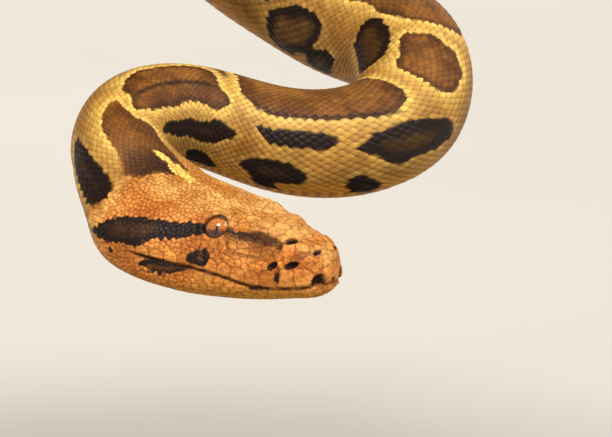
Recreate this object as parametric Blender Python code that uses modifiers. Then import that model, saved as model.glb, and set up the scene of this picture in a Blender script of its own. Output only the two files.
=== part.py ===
"""A grown Indian rock python, wound round a cut branch with its head lowered in front.

Metres, +Z up. The origin is the middle of the base's underside, +X runs along the branch
and -Y is the side that the head is on. The snake's course is a smooth curve from the snout
to the tip of the tail; its skin is a section that changes along that curve.
"""

import math

import bmesh
import bpy
import numpy as np

MM = 0.001
GAP = 0.0004  # between two solids that touch

# The snake
LENGTH = 2.66
SNOUT = (0.160, -0.195, 0.240)
BODY_RADII = (  # distance behind the snout, radius
    (0.11, 0.0190), (0.15, 0.0192), (0.19, 0.0208), (0.24, 0.0228), (0.30, 0.0240), (0.36, 0.0262),
    (0.42, 0.0295), (0.50, 0.0325), (0.62, 0.0350), (0.85, 0.0385), (1.15, 0.0410), (1.50, 0.0405),
    (1.80, 0.0365), (2.05, 0.0300), (2.22, 0.0235), (2.34, 0.0185), (2.50, 0.0120), (2.62, 0.0058),
    (2.66, 0.0020),
)
BELLY_FLATNESS = 0.05  # how far the belly is pressed in, as a share of the radius

# The head's sections, millimetres: the distance along the middle line, the height of the crown, then
# how far out and how high the crown's edge, cheek, lip, jaw and chin are, then the throat's height
HEAD_SECTIONS = (
    (2.2, 0.2, (0.6, 0.0), (1.0, -1.2), (1.0, -3.6), (0.8, -4.6), (0.4, -5.2), -5.6),
    (3.2, 3.2, (2.4, 2.4), (3.6, 0.2), (3.9, -6.0), (3.2, -7.6), (1.8, -8.2), -8.6),
    (5.0, 5.1, (4.0, 4.1), (6.2, 0.8), (6.8, -7.2), (5.8, -9.6), (3.0, -10.8), -11.4),
    (8.0, 6.8, (5.4, 5.7), (8.8, 1.2), (9.6, -8.2), (8.6, -11.2), (4.6, -13.0), -13.8),
    (18.0, 8.7, (7.9, 7.2), (12.8, 1.4), (14.0, -9.2), (12.4, -12.8), (7.0, -15.4), -16.4),
    (32.0, 11.2, (10.2, 9.3), (16.2, 2.0), (18.2, -9.6), (16.6, -14.6), (9.8, -18.2), -19.2),
    (46.0, 13.8, (12.4, 11.8), (19.4, 3.4), (22.4, -9.0), (20.8, -15.8), (12.0, -20.2), -21.2),
    (62.0, 15.9, (13.8, 13.3), (25.2, 3.6), (27.6, -8.2), (25.2, -16.8), (14.0, -21.4), -22.6),
    (80.0, 17.5, (14.7, 14.3), (30.4, 2.4), (31.0, -7.0), (27.6, -16.6), (15.0, -21.4), -22.6),
    (94.0, 18.6, (14.7, 15.0), (30.6, 1.6), (30.0, -6.4), (25.4, -15.4), (14.0, -19.6), -20.6),
    (106.0, 20.1, (13.3, 15.3), (25.0, 2.6), (23.6, -5.0), (19.6, -11.6), (10.6, -15.4), -16.4),
    (122.0, 21.6, (13.0, 16.2), (19.8, 3.4), (18.4, -4.0), (15.4, -9.4), (8.2, -13.4), -14.6),
)
MIDDLE_HEIGHT = ((0, -2.5), (8, -2.0), (32, -1.5), (80, 0.0), (122, 2.5))  # of a head section, mm
SNOUT_TIP = 0.0022  # where the skin begins on the middle line
HEAD_END = 0.106
NECK_END = 0.190
FORE_TRUNK = (0.190, 0.265, 0.345, 0.435, 0.540)  # ends of the lengths before the branch
VENT = 2.27
COILED_LENGTHS = 14
TAIL_LENGTHS = 4
NECK_BLEND = (0.100, 0.150)  # where the head's sections turn into the round of the body

MOUTH = (  # distance behind the snout, height of the line between the lips, mm
    (0, -7.0), (5, -8.2), (12, -9.8), (20, -10.8), (28, -10.8), (38, -9.2), (50, -7.6), (82, -6.4),
)
MOUTH_CORNER = 0.080
EYE_RADIUS = 0.0062
EYE_PLACE = (0.0480, 0.0128, 0.0060)  # behind the snout, out to the side, up
NOSTRIL_PLACE = (0.0160, 0.0073, 0.0068)
NOSTRIL_RADIUS = 0.0019

# The branch and its stand
BRANCH_LENGTH = 0.70
BRANCH_RADIUS = 0.030
BRANCH_UNEVENNESS = 0.0018
BRANCH_Y = 0.010
BRANCH_Z = 0.440
STUB_X = 0.235  # the stub of a side twig, cut off near the branch
STUB_RADIUS = 0.0105
STUB_LENGTH = 0.062
STUB_TILT = math.radians(38)
BASE_SIZE = (0.66, 0.34, 0.022)
BASE_EDGE = 0.004
ROD_RADIUS = 0.008
ROD_X = 0.300
SOCKET_DEPTH = 0.012  # of a rod's hole, in the base and in the branch

# How the snake lies: places of its middle line from the snout back, and where its back faces
LAID = (
    ((0.0000, 0.0000, 0.0000), (0, 0, 1)),
    ((-0.0200, 0.0200, 0.0000), (0, 0, 1)),
    ((-0.0420, 0.0420, 0.0005), (0, 0, 1)),
    ((-0.0700, 0.0660, 0.0060), (0, -0.05, 1)),
    ((-0.0825, 0.0860, 0.0175), (0.1, -0.4, 0.85)),
    ((-0.0785, 0.1120, 0.0270), (0.1, -0.4, 0.9)),
    ((-0.0600, 0.1285, 0.0255), (0, -0.1, 1)),
    ((-0.0245, 0.1310, 0.0145), (0, 0, 1)),
    ((0.0040, 0.1325, 0.0125), (0, 0, 1)),
    ((0.0265, 0.1490, 0.0185), (0.1, -0.2, 0.9)),
    ((0.0295, 0.1895, 0.0380), (0.4, -0.4, 0.8)),
    ((0.0045, 0.2205, 0.0455), (0.5, -0.5, 0.7)),
    ((-0.0190, 0.2385, 0.0575), (0.5, -0.3, 0.7)),
    ((-0.0480, 0.2520, 0.0810), (0.4, 0.1, 0.7)),
    ((-0.0610, 0.2690, 0.1450), (0.1, 0.8, 0.2)),
)
# Round the branch the snake winds from the rear over the top, away from the laid part
COIL_START = 0.525  # distance behind the snout
COIL_X = -0.0640
COIL_TURN = 90.0  # degrees from the top, rear side positive
COIL_STEP = 30.0
COIL_END = 2.49
COIL_PITCH = (  # turn, travel along the branch in a full turn
    (90, 0.080), (-270, 0.084), (-700, 0.084), (-1000, 0.072), (-1300, 0.058), (-1700, 0.040),
)
COIL_SLACK = (  # turn, how far a loop hangs off the branch's underside
    (90, 0.0), (-90, 0.008), (-400, 0.045), (-460, 0.045), (-760, 0.020), (-1000, 0.030), (-1250, 0.0),
)
COIL_CLEARANCE = 0.0012
TAIL_HANG = (  # from the last knot on the branch: out along X, Y and Z
    ((-0.008, -0.006, -0.045), (0, -1, 0.1)),
    ((-0.014, -0.002, -0.090), (0, -1, 0.1)),
    ((-0.020, -0.014, -0.132), (0, -0.9, -0.4)),
    ((-0.022, -0.046, -0.150), (0, -0.2, -1)),
    ((-0.024, -0.072, -0.132), (0, 0.8, -0.6)),
)


def natural_cubic(places, values):
    """A smooth curve through values at places, with no jump in its bending."""
    places = np.asarray(places, float)
    values = np.asarray(values, float)
    count = len(places)
    step = np.diff(places)
    rows = np.zeros((count, count))
    right = np.zeros_like(values)
    rows[0, 0] = rows[-1, -1] = 1.0
    for i in range(1, count - 1):
        rows[i, i - 1:i + 2] = step[i - 1], 2 * (step[i - 1] + step[i]), step[i]
        after = (values[i + 1] - values[i]) / step[i]
        before = (values[i] - values[i - 1]) / step[i - 1]
        right[i] = 6 * (after - before)
    bend = np.linalg.solve(rows, right)

    def curve(at):
        i = np.clip(np.searchsorted(places, at) - 1, 0, count - 2)
        shape = (-1,) + (1,) * (values.ndim - 1)
        width = step[i].reshape(shape)
        u = ((at - places[i]) / step[i]).reshape(shape)
        v = 1 - u
        straight = v * values[i] + u * values[i + 1]
        return straight + width ** 2 / 6 * ((v ** 3 - v) * bend[i] + (u ** 3 - u) * bend[i + 1])

    return curve


def monotone(places, values):
    """A smooth curve through values at places that never overshoots them."""
    places = np.asarray(places, float)
    values = np.asarray(values, float)
    width = np.diff(places)
    slope = np.diff(values) / width
    between = (slope[1:] * width[:-1] + slope[:-1] * width[1:]) / (width[1:] + width[:-1])
    lean = np.concatenate([slope[:1], between, slope[-1:]])
    before = np.concatenate([slope[:1], slope])
    after = np.concatenate([slope, slope[-1:]])
    limit = 3 * np.minimum(np.abs(before), np.abs(after))
    lean = np.where(before * after <= 0, 0.0, np.clip(lean, -limit, limit))

    def curve(at):
        at = np.clip(at, places[0], places[-1])
        i = np.clip(np.searchsorted(places, at) - 1, 0, len(width) - 1)
        u = (at - places[i]) / width[i]
        start = (1 + 2 * u) * (1 - u) ** 2 * values[i] + u * (1 - u) ** 2 * width[i] * lean[i]
        return start + u * u * (3 - 2 * u) * values[i + 1] - u * u * (1 - u) * width[i] * lean[i + 1]

    return curve


def unit(vectors):
    return vectors / np.linalg.norm(vectors, axis=-1, keepdims=True)


def smoothstep(value, low, high):
    share = np.clip((value - low) / (high - low), 0, 1)
    return share * share * (3 - 2 * share)


body_radius = monotone(*zip(*BODY_RADII))
mouth_height = monotone(*zip(*MOUTH))


def coil_knots():
    """Knots of the middle line round the branch, each with the way that the back faces."""
    turns, pitches = zip(*reversed(COIL_PITCH))
    slack_turns, slacks = zip(*reversed(COIL_SLACK))
    knots = []
    distance, turn, x = COIL_START, COIL_TURN, COIL_X
    while distance < COIL_END:
        angle = math.radians(turn)
        under = max(0.0, -math.cos(angle)) ** 1.5
        reach = BRANCH_RADIUS + float(body_radius(distance)) + COIL_CLEARANCE
        reach += under * np.interp(turn, slack_turns, slacks)
        away = np.array((0.0, math.sin(angle), math.cos(angle)))
        knots.append((np.array((SNOUT[0] + x, BRANCH_Y, BRANCH_Z)) + reach * away, away))
        pitch = np.interp(turn, turns, pitches)
        distance += math.hypot(reach * math.radians(COIL_STEP), pitch * COIL_STEP / 360)
        x -= pitch * COIL_STEP / 360
        turn -= COIL_STEP
    return knots


def course_knots():
    """All knots of the middle line, from the snout to past the tail's tip."""
    laid = [(np.add(SNOUT, place), back) for place, back in LAID]
    coils = coil_knots()
    hang = [(coils[-1][0] + np.array(place), back) for place, back in TAIL_HANG]
    return laid + coils + hang


class Course:
    """The snake's middle line, with the ways ahead, up out of its back and to its right."""

    SAMPLES = 6000

    def __init__(self):
        places, backs = (np.array(each, float) for each in zip(*course_knots()))
        chords = np.concatenate([[0], np.cumsum(np.linalg.norm(np.diff(places, axis=0), axis=1))])
        at = np.linspace(0, chords[-1], self.SAMPLES)
        self.place = natural_cubic(chords, places)(at)
        steps = np.linalg.norm(np.diff(self.place, axis=0), axis=1)
        self.distance = np.concatenate([[0], np.cumsum(steps)])
        self.tailward = unit(np.gradient(self.place, axis=0))
        back = natural_cubic(chords, unit(backs))(at)
        back -= np.sum(back * self.tailward, axis=1, keepdims=True) * self.tailward
        self.up = unit(back)
        self.right = np.cross(self.up, self.tailward)

    def at(self, distances):
        """Place, up and right at distances behind the snout."""
        distances = np.asarray(distances, float)
        found = []
        for values in (self.place, self.up, self.right):
            found.append(np.stack([np.interp(distances, self.distance, values[:, k]) for k in range(3)], -1))
        return found[0], unit(found[1]), unit(found[2])


def rounded(loop):
    """Points along the smooth closed curve that passes through a loop's points."""
    u = np.linspace(0, 1, 12, endpoint=False)[:, None]
    before, here, after, beyond = (np.roll(loop, k, axis=0)[:, None] for k in (1, 0, -1, -2))
    slope = after - before
    bend = 2 * before - 5 * here + 4 * after - beyond
    turn = 3 * here - before - 3 * after + beyond
    return (here + 0.5 * (slope * u + bend * u ** 2 + turn * u ** 3)).reshape(-1, 2)


def head_section_table(stations, directions):
    """How far the head's skin is from its section's middle, by station and direction."""
    rows = [np.ravel(np.concatenate([np.atleast_1d(part) for part in row])) for row in HEAD_SECTIONS]
    rows = np.array(rows)
    tip = rows[0, 0]
    places, at = np.sqrt(rows[:, 0] - tip), np.sqrt(stations - tip)
    shape = np.array([monotone(places, rows[:, k])(at) for k in range(1, rows.shape[1])]).T
    top, bottom = shape[:, 0], shape[:, -1]
    out, high = shape[:, 1:-1:2], shape[:, 2:-1:2]
    zero = np.zeros((len(stations), 1))
    half = np.stack([np.hstack([zero, out, zero]), np.hstack([top[:, None], high, bottom[:, None]])], -1)
    closed = np.concatenate([half, half[:, -2:0:-1] * (-1, 1)], axis=1)
    middle = monotone(*zip(*MIDDLE_HEIGHT))(stations)
    closed[..., 1] -= middle[:, None]
    table = []
    for loop in closed:
        points = rounded(loop)
        turn = np.unwrap(np.arctan2(points[:, 0], points[:, 1]))
        reach = np.hypot(points[:, 0], points[:, 1])
        table.append(np.interp(directions, turn, reach, period=2 * math.pi))
    return np.array(table)


class Skin:
    """The snake's outer surface, by distance behind the snout and direction from the back."""

    SPREAD = np.linspace(0, math.sqrt(122.0 - SNOUT_TIP / MM), 360)  # closer together at the snout
    STATIONS = SNOUT_TIP / MM + SPREAD ** 2
    DIRECTIONS = np.linspace(-math.pi, math.pi, 361)

    def __init__(self, course):
        self.course = course
        self.table = head_section_table(self.STATIONS, self.DIRECTIONS)

    def head_reach(self, distance, direction):
        spread = np.sqrt(np.clip((distance - SNOUT_TIP) / MM, 0, self.SPREAD[-1] ** 2))
        row = spread / self.SPREAD[-1] * (len(self.SPREAD) - 1)
        column = (direction + math.pi) / (2 * math.pi) * (len(self.DIRECTIONS) - 1)
        i = np.clip(row.astype(int), 0, len(self.STATIONS) - 2)
        j = np.clip(column.astype(int), 0, len(self.DIRECTIONS) - 2)
        u, v = row - i, column - j
        table = self.table
        near = (1 - v) * table[i, j] + v * table[i, j + 1]
        far = (1 - v) * table[i + 1, j] + v * table[i + 1, j + 1]
        return MM * ((1 - u) * near + u * far)

    def section(self, distance, direction):
        """Out to the right and up from the middle line, in metres."""
        direction = np.mod(direction + math.pi, 2 * math.pi) - math.pi
        side, height = np.sin(direction), np.cos(direction)
        reach = self.head_reach(distance, direction)
        lift = MM * monotone(*zip(*MIDDLE_HEIGHT))(distance / MM)
        radius = body_radius(distance)
        round_reach = radius * (1 - BELLY_FLATNESS * smoothstep(-height, 0.3, 1.0))
        blend = smoothstep(distance, *NECK_BLEND)
        out = (1 - blend) * reach * side + blend * round_reach * side
        up = (1 - blend) * (reach * height + lift) + blend * round_reach * height
        return out, up

    def point(self, distance, direction):
        distance, direction = np.broadcast_arrays(np.asarray(distance, float), np.asarray(direction, float))
        place, up, right = self.course.at(distance)
        out, high = self.section(distance, direction)
        return place + out[..., None] * right + high[..., None] * up


def link(name, mesh, collection, parent, place=(0, 0, 0)):
    thing = bpy.data.objects.new(name, mesh)
    thing.location = place
    collection.objects.link(thing)
    thing.parent = parent
    return thing


def lofted_mesh(name, rings, origin):
    """One closed body through rings of equally many points, with a flat face on each end."""
    shape = bmesh.new()
    rows = [[shape.verts.new(point - origin) for point in ring] for ring in rings]
    count = len(rows[0])
    for this, following in zip(rows, rows[1:]):
        for k in range(count):
            shape.faces.new((this[k], this[(k + 1) % count], following[(k + 1) % count], following[k]))
    shape.faces.new(reversed(rows[0]))
    shape.faces.new(rows[-1])
    bmesh.ops.recalc_face_normals(shape, faces=shape.faces)
    mesh = bpy.data.meshes.new(name)
    shape.to_mesh(mesh)
    shape.free()
    mesh.shade_smooth()
    mesh.set_sharp_from_angle(angle=math.radians(50))
    return mesh


def loft(name, rings, collection, parent):
    origin = np.mean(rings[0], axis=0)
    return link(name, lofted_mesh(name, rings, origin), collection, parent, origin)


def paint(thing, colour, roughness, metallic=0.0):
    material = bpy.data.materials.new(thing.name)
    material.use_nodes = True
    shader = material.node_tree.nodes["Principled BSDF"]
    shader.inputs["Base Color"].default_value = (*colour, 1.0)
    shader.inputs["Roughness"].default_value = roughness
    shader.inputs["Metallic"].default_value = metallic
    thing.data.materials.clear()
    thing.data.materials.append(material)


def cylinder(name, radius, depth, sides, collection, parent, place, tilt=(0, 0, 0)):
    shape = bmesh.new()
    bmesh.ops.create_cone(shape, cap_ends=True, segments=sides, radius1=radius, radius2=radius, depth=depth)
    mesh = bpy.data.meshes.new(name)
    shape.to_mesh(mesh)
    shape.free()
    mesh.shade_smooth()
    mesh.set_sharp_from_angle(angle=math.radians(50))
    thing = link(name, mesh, collection, parent, place)
    thing.rotation_euler = tilt
    return thing


def ball(name, radius, columns, rows, collection, parent, place):
    shape = bmesh.new()
    bmesh.ops.create_uvsphere(shape, u_segments=columns, v_segments=rows, radius=radius)
    mesh = bpy.data.meshes.new(name)
    shape.to_mesh(mesh)
    shape.free()
    mesh.shade_smooth()
    return link(name, mesh, collection, parent, place)


def hide_cutter(thing):
    thing.hide_render = True
    thing.display_type = "WIRE"
    return thing


def combine(thing, other, operation):
    change = thing.modifiers.new(f"{operation.lower()} {other.name}", "BOOLEAN")
    change.operation = operation
    change.object = other


def directions(count):
    return np.arange(count) * 2 * math.pi / count


def skin_rings(skin, distances, columns):
    return [skin.point(np.full(columns, distance), directions(columns)) for distance in distances]


class Model:
    """The scene's two collections and the empties that carry the snake and its stand."""

    def __init__(self):
        for thing in list(bpy.data.objects):
            bpy.data.objects.remove(thing, do_unlink=True)
        self.parts = self.collection("coiled python")
        self.cutters = self.collection("cutters")
        self.stand = self.carrier("stand")
        self.snake = self.carrier("snake")
        self.course = Course()
        self.skin = Skin(self.course)

    @staticmethod
    def collection(name):
        found = bpy.data.collections.new(name)
        bpy.context.scene.collection.children.link(found)
        return found

    def carrier(self, name):
        return link(name, None, self.parts, None)


def head_place(model, behind, out, up):
    """A place in the head: its distance behind the snout, out to the right and up."""
    place, back, right = model.course.at(max(behind, 0.0))
    tailward = np.cross(right, back)
    return place + min(behind, 0.0) * tailward + out * right + up * back


def mouth_cutter(model):
    """A thin sheet between the lips that turns down behind the corner of the mouth."""
    ahead, depth, half_width = -0.004, 0.045, 0.045
    along = np.linspace(ahead, MOUTH_CORNER, 22)
    line = MM * mouth_height(along / MM)
    outline = list(zip(along[:-1], line[:-1] + GAP / 2))
    outline += [(MOUTH_CORNER + GAP, line[-1] + GAP / 2), (MOUTH_CORNER + GAP, -depth)]
    outline += [(MOUTH_CORNER, -depth), (MOUTH_CORNER, line[-1] - GAP / 2)]
    outline += list(zip(along[-2::-1], line[-2::-1] - GAP / 2))
    sides = []
    for out in (-half_width, half_width):
        sides.append(np.array([head_place(model, behind, out, up) for behind, up in outline]))
    mesh = lofted_mesh("mouth cutter", sides, np.zeros(3))
    return hide_cutter(link("mouth cutter", mesh, model.cutters, None))


def split_in_two(thing, model, names):
    """Turns a body that its modifiers have cut in two into two objects, the higher one first."""
    cut = bpy.data.meshes.new_from_object(thing.evaluated_get(bpy.context.evaluated_depsgraph_get()))
    place = thing.location.copy()
    bpy.data.objects.remove(thing, do_unlink=True)
    halves = []
    for name in names:
        shape = bmesh.new()
        shape.from_mesh(cut)
        islands = find_islands(shape)
        islands.sort(key=lambda faces: -max(face.calc_center_median().z for face in faces))
        unwanted = [face for island in islands if island is not islands[names.index(name)] for face in island]
        bmesh.ops.delete(shape, geom=unwanted, context="FACES")
        mesh = bpy.data.meshes.new(name)
        shape.to_mesh(mesh)
        shape.free()
        halves.append(link(name, mesh, model.parts, model.snake, place))
    return halves


def find_islands(shape):
    """The sets of faces of a mesh that hang together."""
    left = set(shape.faces)
    islands = []
    while left:
        island, edge_of_search = set(), [left.pop()]
        while edge_of_search:
            face = edge_of_search.pop()
            island.add(face)
            for edge in face.edges:
                for neighbour in edge.link_faces:
                    if neighbour in left:
                        left.remove(neighbour)
                        edge_of_search.append(neighbour)
        islands.append(island)
    return islands


def build_head(model):
    """The head with its nostrils and eye sockets, parted along the mouth, and the eyes."""
    spread = np.linspace(math.sqrt(0.15), math.sqrt((HEAD_END - SNOUT_TIP) / MM), 25)
    distances = SNOUT_TIP + MM * spread ** 2
    head = loft("head", skin_rings(model.skin, distances, 32), model.parts, model.snake)
    behind, out, up = NOSTRIL_PLACE
    for side in (-1, 1):
        place = head_place(model, behind, side * out, up)
        nostril = ball("nostril cutter", NOSTRIL_RADIUS, 8, 6, model.cutters, None, place)
        combine(head, hide_cutter(nostril), "DIFFERENCE")
    behind, out, up = EYE_PLACE
    for side, name in ((-1, "eye_left"), (1, "eye_right")):
        place = head_place(model, behind, side * out, up)
        socket = ball("socket cutter", EYE_RADIUS + GAP, 16, 10, model.cutters, None, place)
        combine(head, hide_cutter(socket), "DIFFERENCE")
        eye = ball(name, EYE_RADIUS, 16, 10, model.parts, model.snake, place)
        paint(eye, (0.42, 0.20, 0.05), 0.08)
    combine(head, mouth_cutter(model), "DIFFERENCE")
    bpy.context.view_layer.update()
    upper, lower = split_in_two(head, model, ("head_upper", "lower_jaw"))
    paint(upper, (0.62, 0.33, 0.17), 0.45)
    paint(lower, (0.66, 0.40, 0.22), 0.45)


def build_length(model, name, start, end, spacing, columns, colour):
    count = max(3, round((end - start) / spacing) + 1)
    distances = np.linspace(start, end - GAP, count)
    length = loft(name, skin_rings(model.skin, distances, columns), model.parts, model.snake)
    paint(length, colour, 0.5)


def build_body(model):
    """The neck, the trunk in its lengths, and the tail behind the vent."""
    build_length(model, "neck", HEAD_END + GAP, NECK_END, 0.009, 18, (0.55, 0.33, 0.16))
    bounds = list(FORE_TRUNK) + list(np.linspace(FORE_TRUNK[-1], VENT, COILED_LENGTHS + 1))[1:]
    for number, (start, end) in enumerate(zip(bounds, bounds[1:]), 1):
        spacing, columns = (0.0115, 18) if start < FORE_TRUNK[-1] else (0.0165, 14)
        build_length(model, f"trunk_{number:02d}", start, end, spacing, columns, (0.50, 0.30, 0.13))
    bounds = np.linspace(VENT, LENGTH, TAIL_LENGTHS + 1)
    for number, (start, end) in enumerate(zip(bounds, bounds[1:]), 1):
        build_length(model, f"tail_{number}", start, end, 0.013, 12, (0.50, 0.30, 0.13))


def branch_rings():
    """A cut branch, a little uneven but never thicker than its radius."""
    rings = []
    for x in np.linspace(-BRANCH_LENGTH / 2, BRANCH_LENGTH / 2, 22):
        around = directions(14)
        wave = 0.5 + 0.25 * np.sin(2 * around + 9 * x) + 0.25 * np.sin(3 * around - 14 * x + 1)
        radius = BRANCH_RADIUS - BRANCH_UNEVENNESS * wave
        across = np.stack([np.full(len(around), x), np.sin(around) * radius, np.cos(around) * radius], -1)
        rings.append(across + (0, BRANCH_Y, BRANCH_Z))
    return rings


def build_branch(model):
    branch = loft("perch_branch", branch_rings(), model.parts, model.stand)
    lean = np.array((math.sin(STUB_TILT), 0.0, math.cos(STUB_TILT)))
    middle = np.array((STUB_X, BRANCH_Y, BRANCH_Z)) + lean * STUB_LENGTH / 2
    stub = cylinder("side twig", STUB_RADIUS, STUB_LENGTH, 12, model.cutters, None, middle, (0, STUB_TILT, 0))
    combine(branch, hide_cutter(stub), "UNION")
    for side in (-1, 1):
        place = (side * ROD_X, BRANCH_Y, BRANCH_Z - BRANCH_RADIUS)
        bore = cylinder("branch bore", ROD_RADIUS + GAP, 2 * SOCKET_DEPTH, 20, model.cutters, None, place)
        combine(branch, hide_cutter(bore), "DIFFERENCE")
    paint(branch, (0.22, 0.14, 0.08), 0.85)


def build_stand(model):
    """The flat base and the two rods that hold up the branch."""
    shape = bmesh.new()
    bmesh.ops.create_cube(shape, size=1.0)
    bmesh.ops.scale(shape, vec=BASE_SIZE, verts=shape.verts)
    mesh = bpy.data.meshes.new("stand_base")
    shape.to_mesh(mesh)
    shape.free()
    base = link("stand_base", mesh, model.parts, model.stand, (0, 0, BASE_SIZE[2] / 2))
    edge = base.modifiers.new("rounded edges", "BEVEL")
    edge.width = BASE_EDGE
    edge.segments = 2
    for side in (-1, 1):
        place = (side * ROD_X, BRANCH_Y, BASE_SIZE[2])
        hole = cylinder("base bore", ROD_RADIUS + GAP, 2 * SOCKET_DEPTH, 20, model.cutters, None, place)
        combine(base, hide_cutter(hole), "DIFFERENCE")
    paint(base, (0.03, 0.03, 0.032), 0.5)
    bottom = BASE_SIZE[2] - SOCKET_DEPTH + GAP
    top = BRANCH_Z - BRANCH_RADIUS + SOCKET_DEPTH - GAP
    for side, name in ((-1, "stand_rod_left"), (1, "stand_rod_right")):
        place = (side * ROD_X, BRANCH_Y, (bottom + top) / 2)
        rod = cylinder(name, ROD_RADIUS, top - bottom, 20, model.parts, model.stand, place)
        paint(rod, (0.60, 0.60, 0.61), 0.3, 1.0)


def build():
    model = Model()
    build_stand(model)
    build_branch(model)
    build_head(model)
    build_body(model)


build()
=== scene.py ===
"""The looks of a life-size rock python on its branch and stand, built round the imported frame.

Metres, +Z up, in the frame's own axes: the origin is the middle of the base's underside, +X runs
along the branch and -Y is the side that the head is on. The snake's skin and coat are laid out by
distance behind the snout and by direction round the body, where 0 is the middle of the back and
positive directions are on the snake's right.
"""

import math

import bpy
import numpy as np
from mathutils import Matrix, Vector, noise
from mathutils.bvhtree import BVHTree
from mathutils.kdtree import KDTree


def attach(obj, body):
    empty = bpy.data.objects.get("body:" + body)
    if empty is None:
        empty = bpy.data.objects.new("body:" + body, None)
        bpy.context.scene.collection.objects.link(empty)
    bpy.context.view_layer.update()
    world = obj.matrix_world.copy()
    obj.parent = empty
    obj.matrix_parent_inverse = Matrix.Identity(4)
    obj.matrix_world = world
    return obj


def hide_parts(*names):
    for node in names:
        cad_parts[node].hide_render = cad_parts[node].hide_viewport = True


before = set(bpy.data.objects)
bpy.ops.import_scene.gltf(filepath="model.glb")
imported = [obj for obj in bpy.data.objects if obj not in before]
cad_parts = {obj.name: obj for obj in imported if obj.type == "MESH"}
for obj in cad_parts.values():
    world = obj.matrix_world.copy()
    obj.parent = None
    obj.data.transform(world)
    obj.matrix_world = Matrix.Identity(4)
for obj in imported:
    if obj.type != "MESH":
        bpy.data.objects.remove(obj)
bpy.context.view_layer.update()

MM = 0.001

# The snake
LENGTH = 2.66
SNOUT = (0.160, -0.195, 0.240)
BODY_RADII = (  # distance behind the snout, radius
    (0.11, 0.0190), (0.15, 0.0192), (0.19, 0.0208), (0.24, 0.0228), (0.30, 0.0240), (0.36, 0.0262),
    (0.42, 0.0295), (0.50, 0.0325), (0.62, 0.0350), (0.85, 0.0385), (1.15, 0.0410), (1.50, 0.0405),
    (1.80, 0.0365), (2.05, 0.0300), (2.22, 0.0235), (2.34, 0.0185), (2.50, 0.0120), (2.62, 0.0058),
    (2.66, 0.0020),
)
BELLY_FLATNESS = 0.05  # how far the belly is pressed in, as a share of the radius

# The head's sections, millimetres: the distance along the middle line, the height of the crown, then
# how far out and how high the crown's edge, cheek, lip, jaw and chin are, then the throat's height
HEAD_SECTIONS = (
    (2.2, 0.2, (0.6, 0.0), (1.0, -1.2), (1.0, -3.6), (0.8, -4.6), (0.4, -5.2), -5.6),
    (3.2, 3.2, (2.4, 2.4), (3.6, 0.2), (3.9, -6.0), (3.2, -7.6), (1.8, -8.2), -8.6),
    (5.0, 5.1, (4.0, 4.1), (6.2, 0.8), (6.8, -7.2), (5.8, -9.6), (3.0, -10.8), -11.4),
    (8.0, 6.8, (5.4, 5.7), (8.8, 1.2), (9.6, -8.2), (8.6, -11.2), (4.6, -13.0), -13.8),
    (18.0, 8.7, (7.9, 7.2), (12.8, 1.4), (14.0, -9.2), (12.4, -12.8), (7.0, -15.4), -16.4),
    (32.0, 11.2, (10.2, 9.3), (16.2, 2.0), (18.2, -9.6), (16.6, -14.6), (9.8, -18.2), -19.2),
    (46.0, 13.8, (12.4, 11.8), (19.4, 3.4), (22.4, -9.0), (20.8, -15.8), (12.0, -20.2), -21.2),
    (62.0, 15.9, (13.8, 13.3), (25.2, 3.6), (27.6, -8.2), (25.2, -16.8), (14.0, -21.4), -22.6),
    (80.0, 17.5, (14.7, 14.3), (30.4, 2.4), (31.0, -7.0), (27.6, -16.6), (15.0, -21.4), -22.6),
    (94.0, 18.6, (14.7, 15.0), (30.6, 1.6), (30.0, -6.4), (25.4, -15.4), (14.0, -19.6), -20.6),
    (106.0, 20.1, (13.3, 15.3), (25.0, 2.6), (23.6, -5.0), (19.6, -11.6), (10.6, -15.4), -16.4),
    (122.0, 21.6, (13.0, 16.2), (19.8, 3.4), (18.4, -4.0), (15.4, -9.4), (8.2, -13.4), -14.6),
)
MIDDLE_HEIGHT = ((0, -2.5), (8, -2.0), (32, -1.5), (80, 0.0), (122, 2.5))  # of a head section, mm
SNOUT_TIP = 0.0022  # where the skin begins on the middle line
VENT = 2.27  # the belly's plates are single before it and in pairs behind it
NECK_BLEND = (0.100, 0.150)  # where the head's sections turn into the round of the body

MOUTH = (  # distance behind the snout, height of the line between the lips, mm
    (0, -7.0), (5, -8.2), (12, -9.8), (20, -10.8), (28, -10.8), (38, -9.2), (50, -7.6), (82, -6.4),
)
MOUTH_CORNER = 0.080
EYE_RADIUS = 0.0062
EYE_BEHIND = 0.0470  # how far behind the snout's tip
EYE_DIRECTION = math.radians(60)  # where the eye looks out, from the middle of the back

# The branch and its stand
BRANCH_LENGTH = 0.70
BRANCH_RADIUS = 0.030
BRANCH_UNEVENNESS = 0.0018
BRANCH_Y = 0.010
BRANCH_Z = 0.440
STUB_X = 0.235  # the stub of a side twig, cut off near the branch
STUB_RADIUS = 0.0105
STUB_LENGTH = 0.062
STUB_TILT = math.radians(38)  # from straight up

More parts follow.
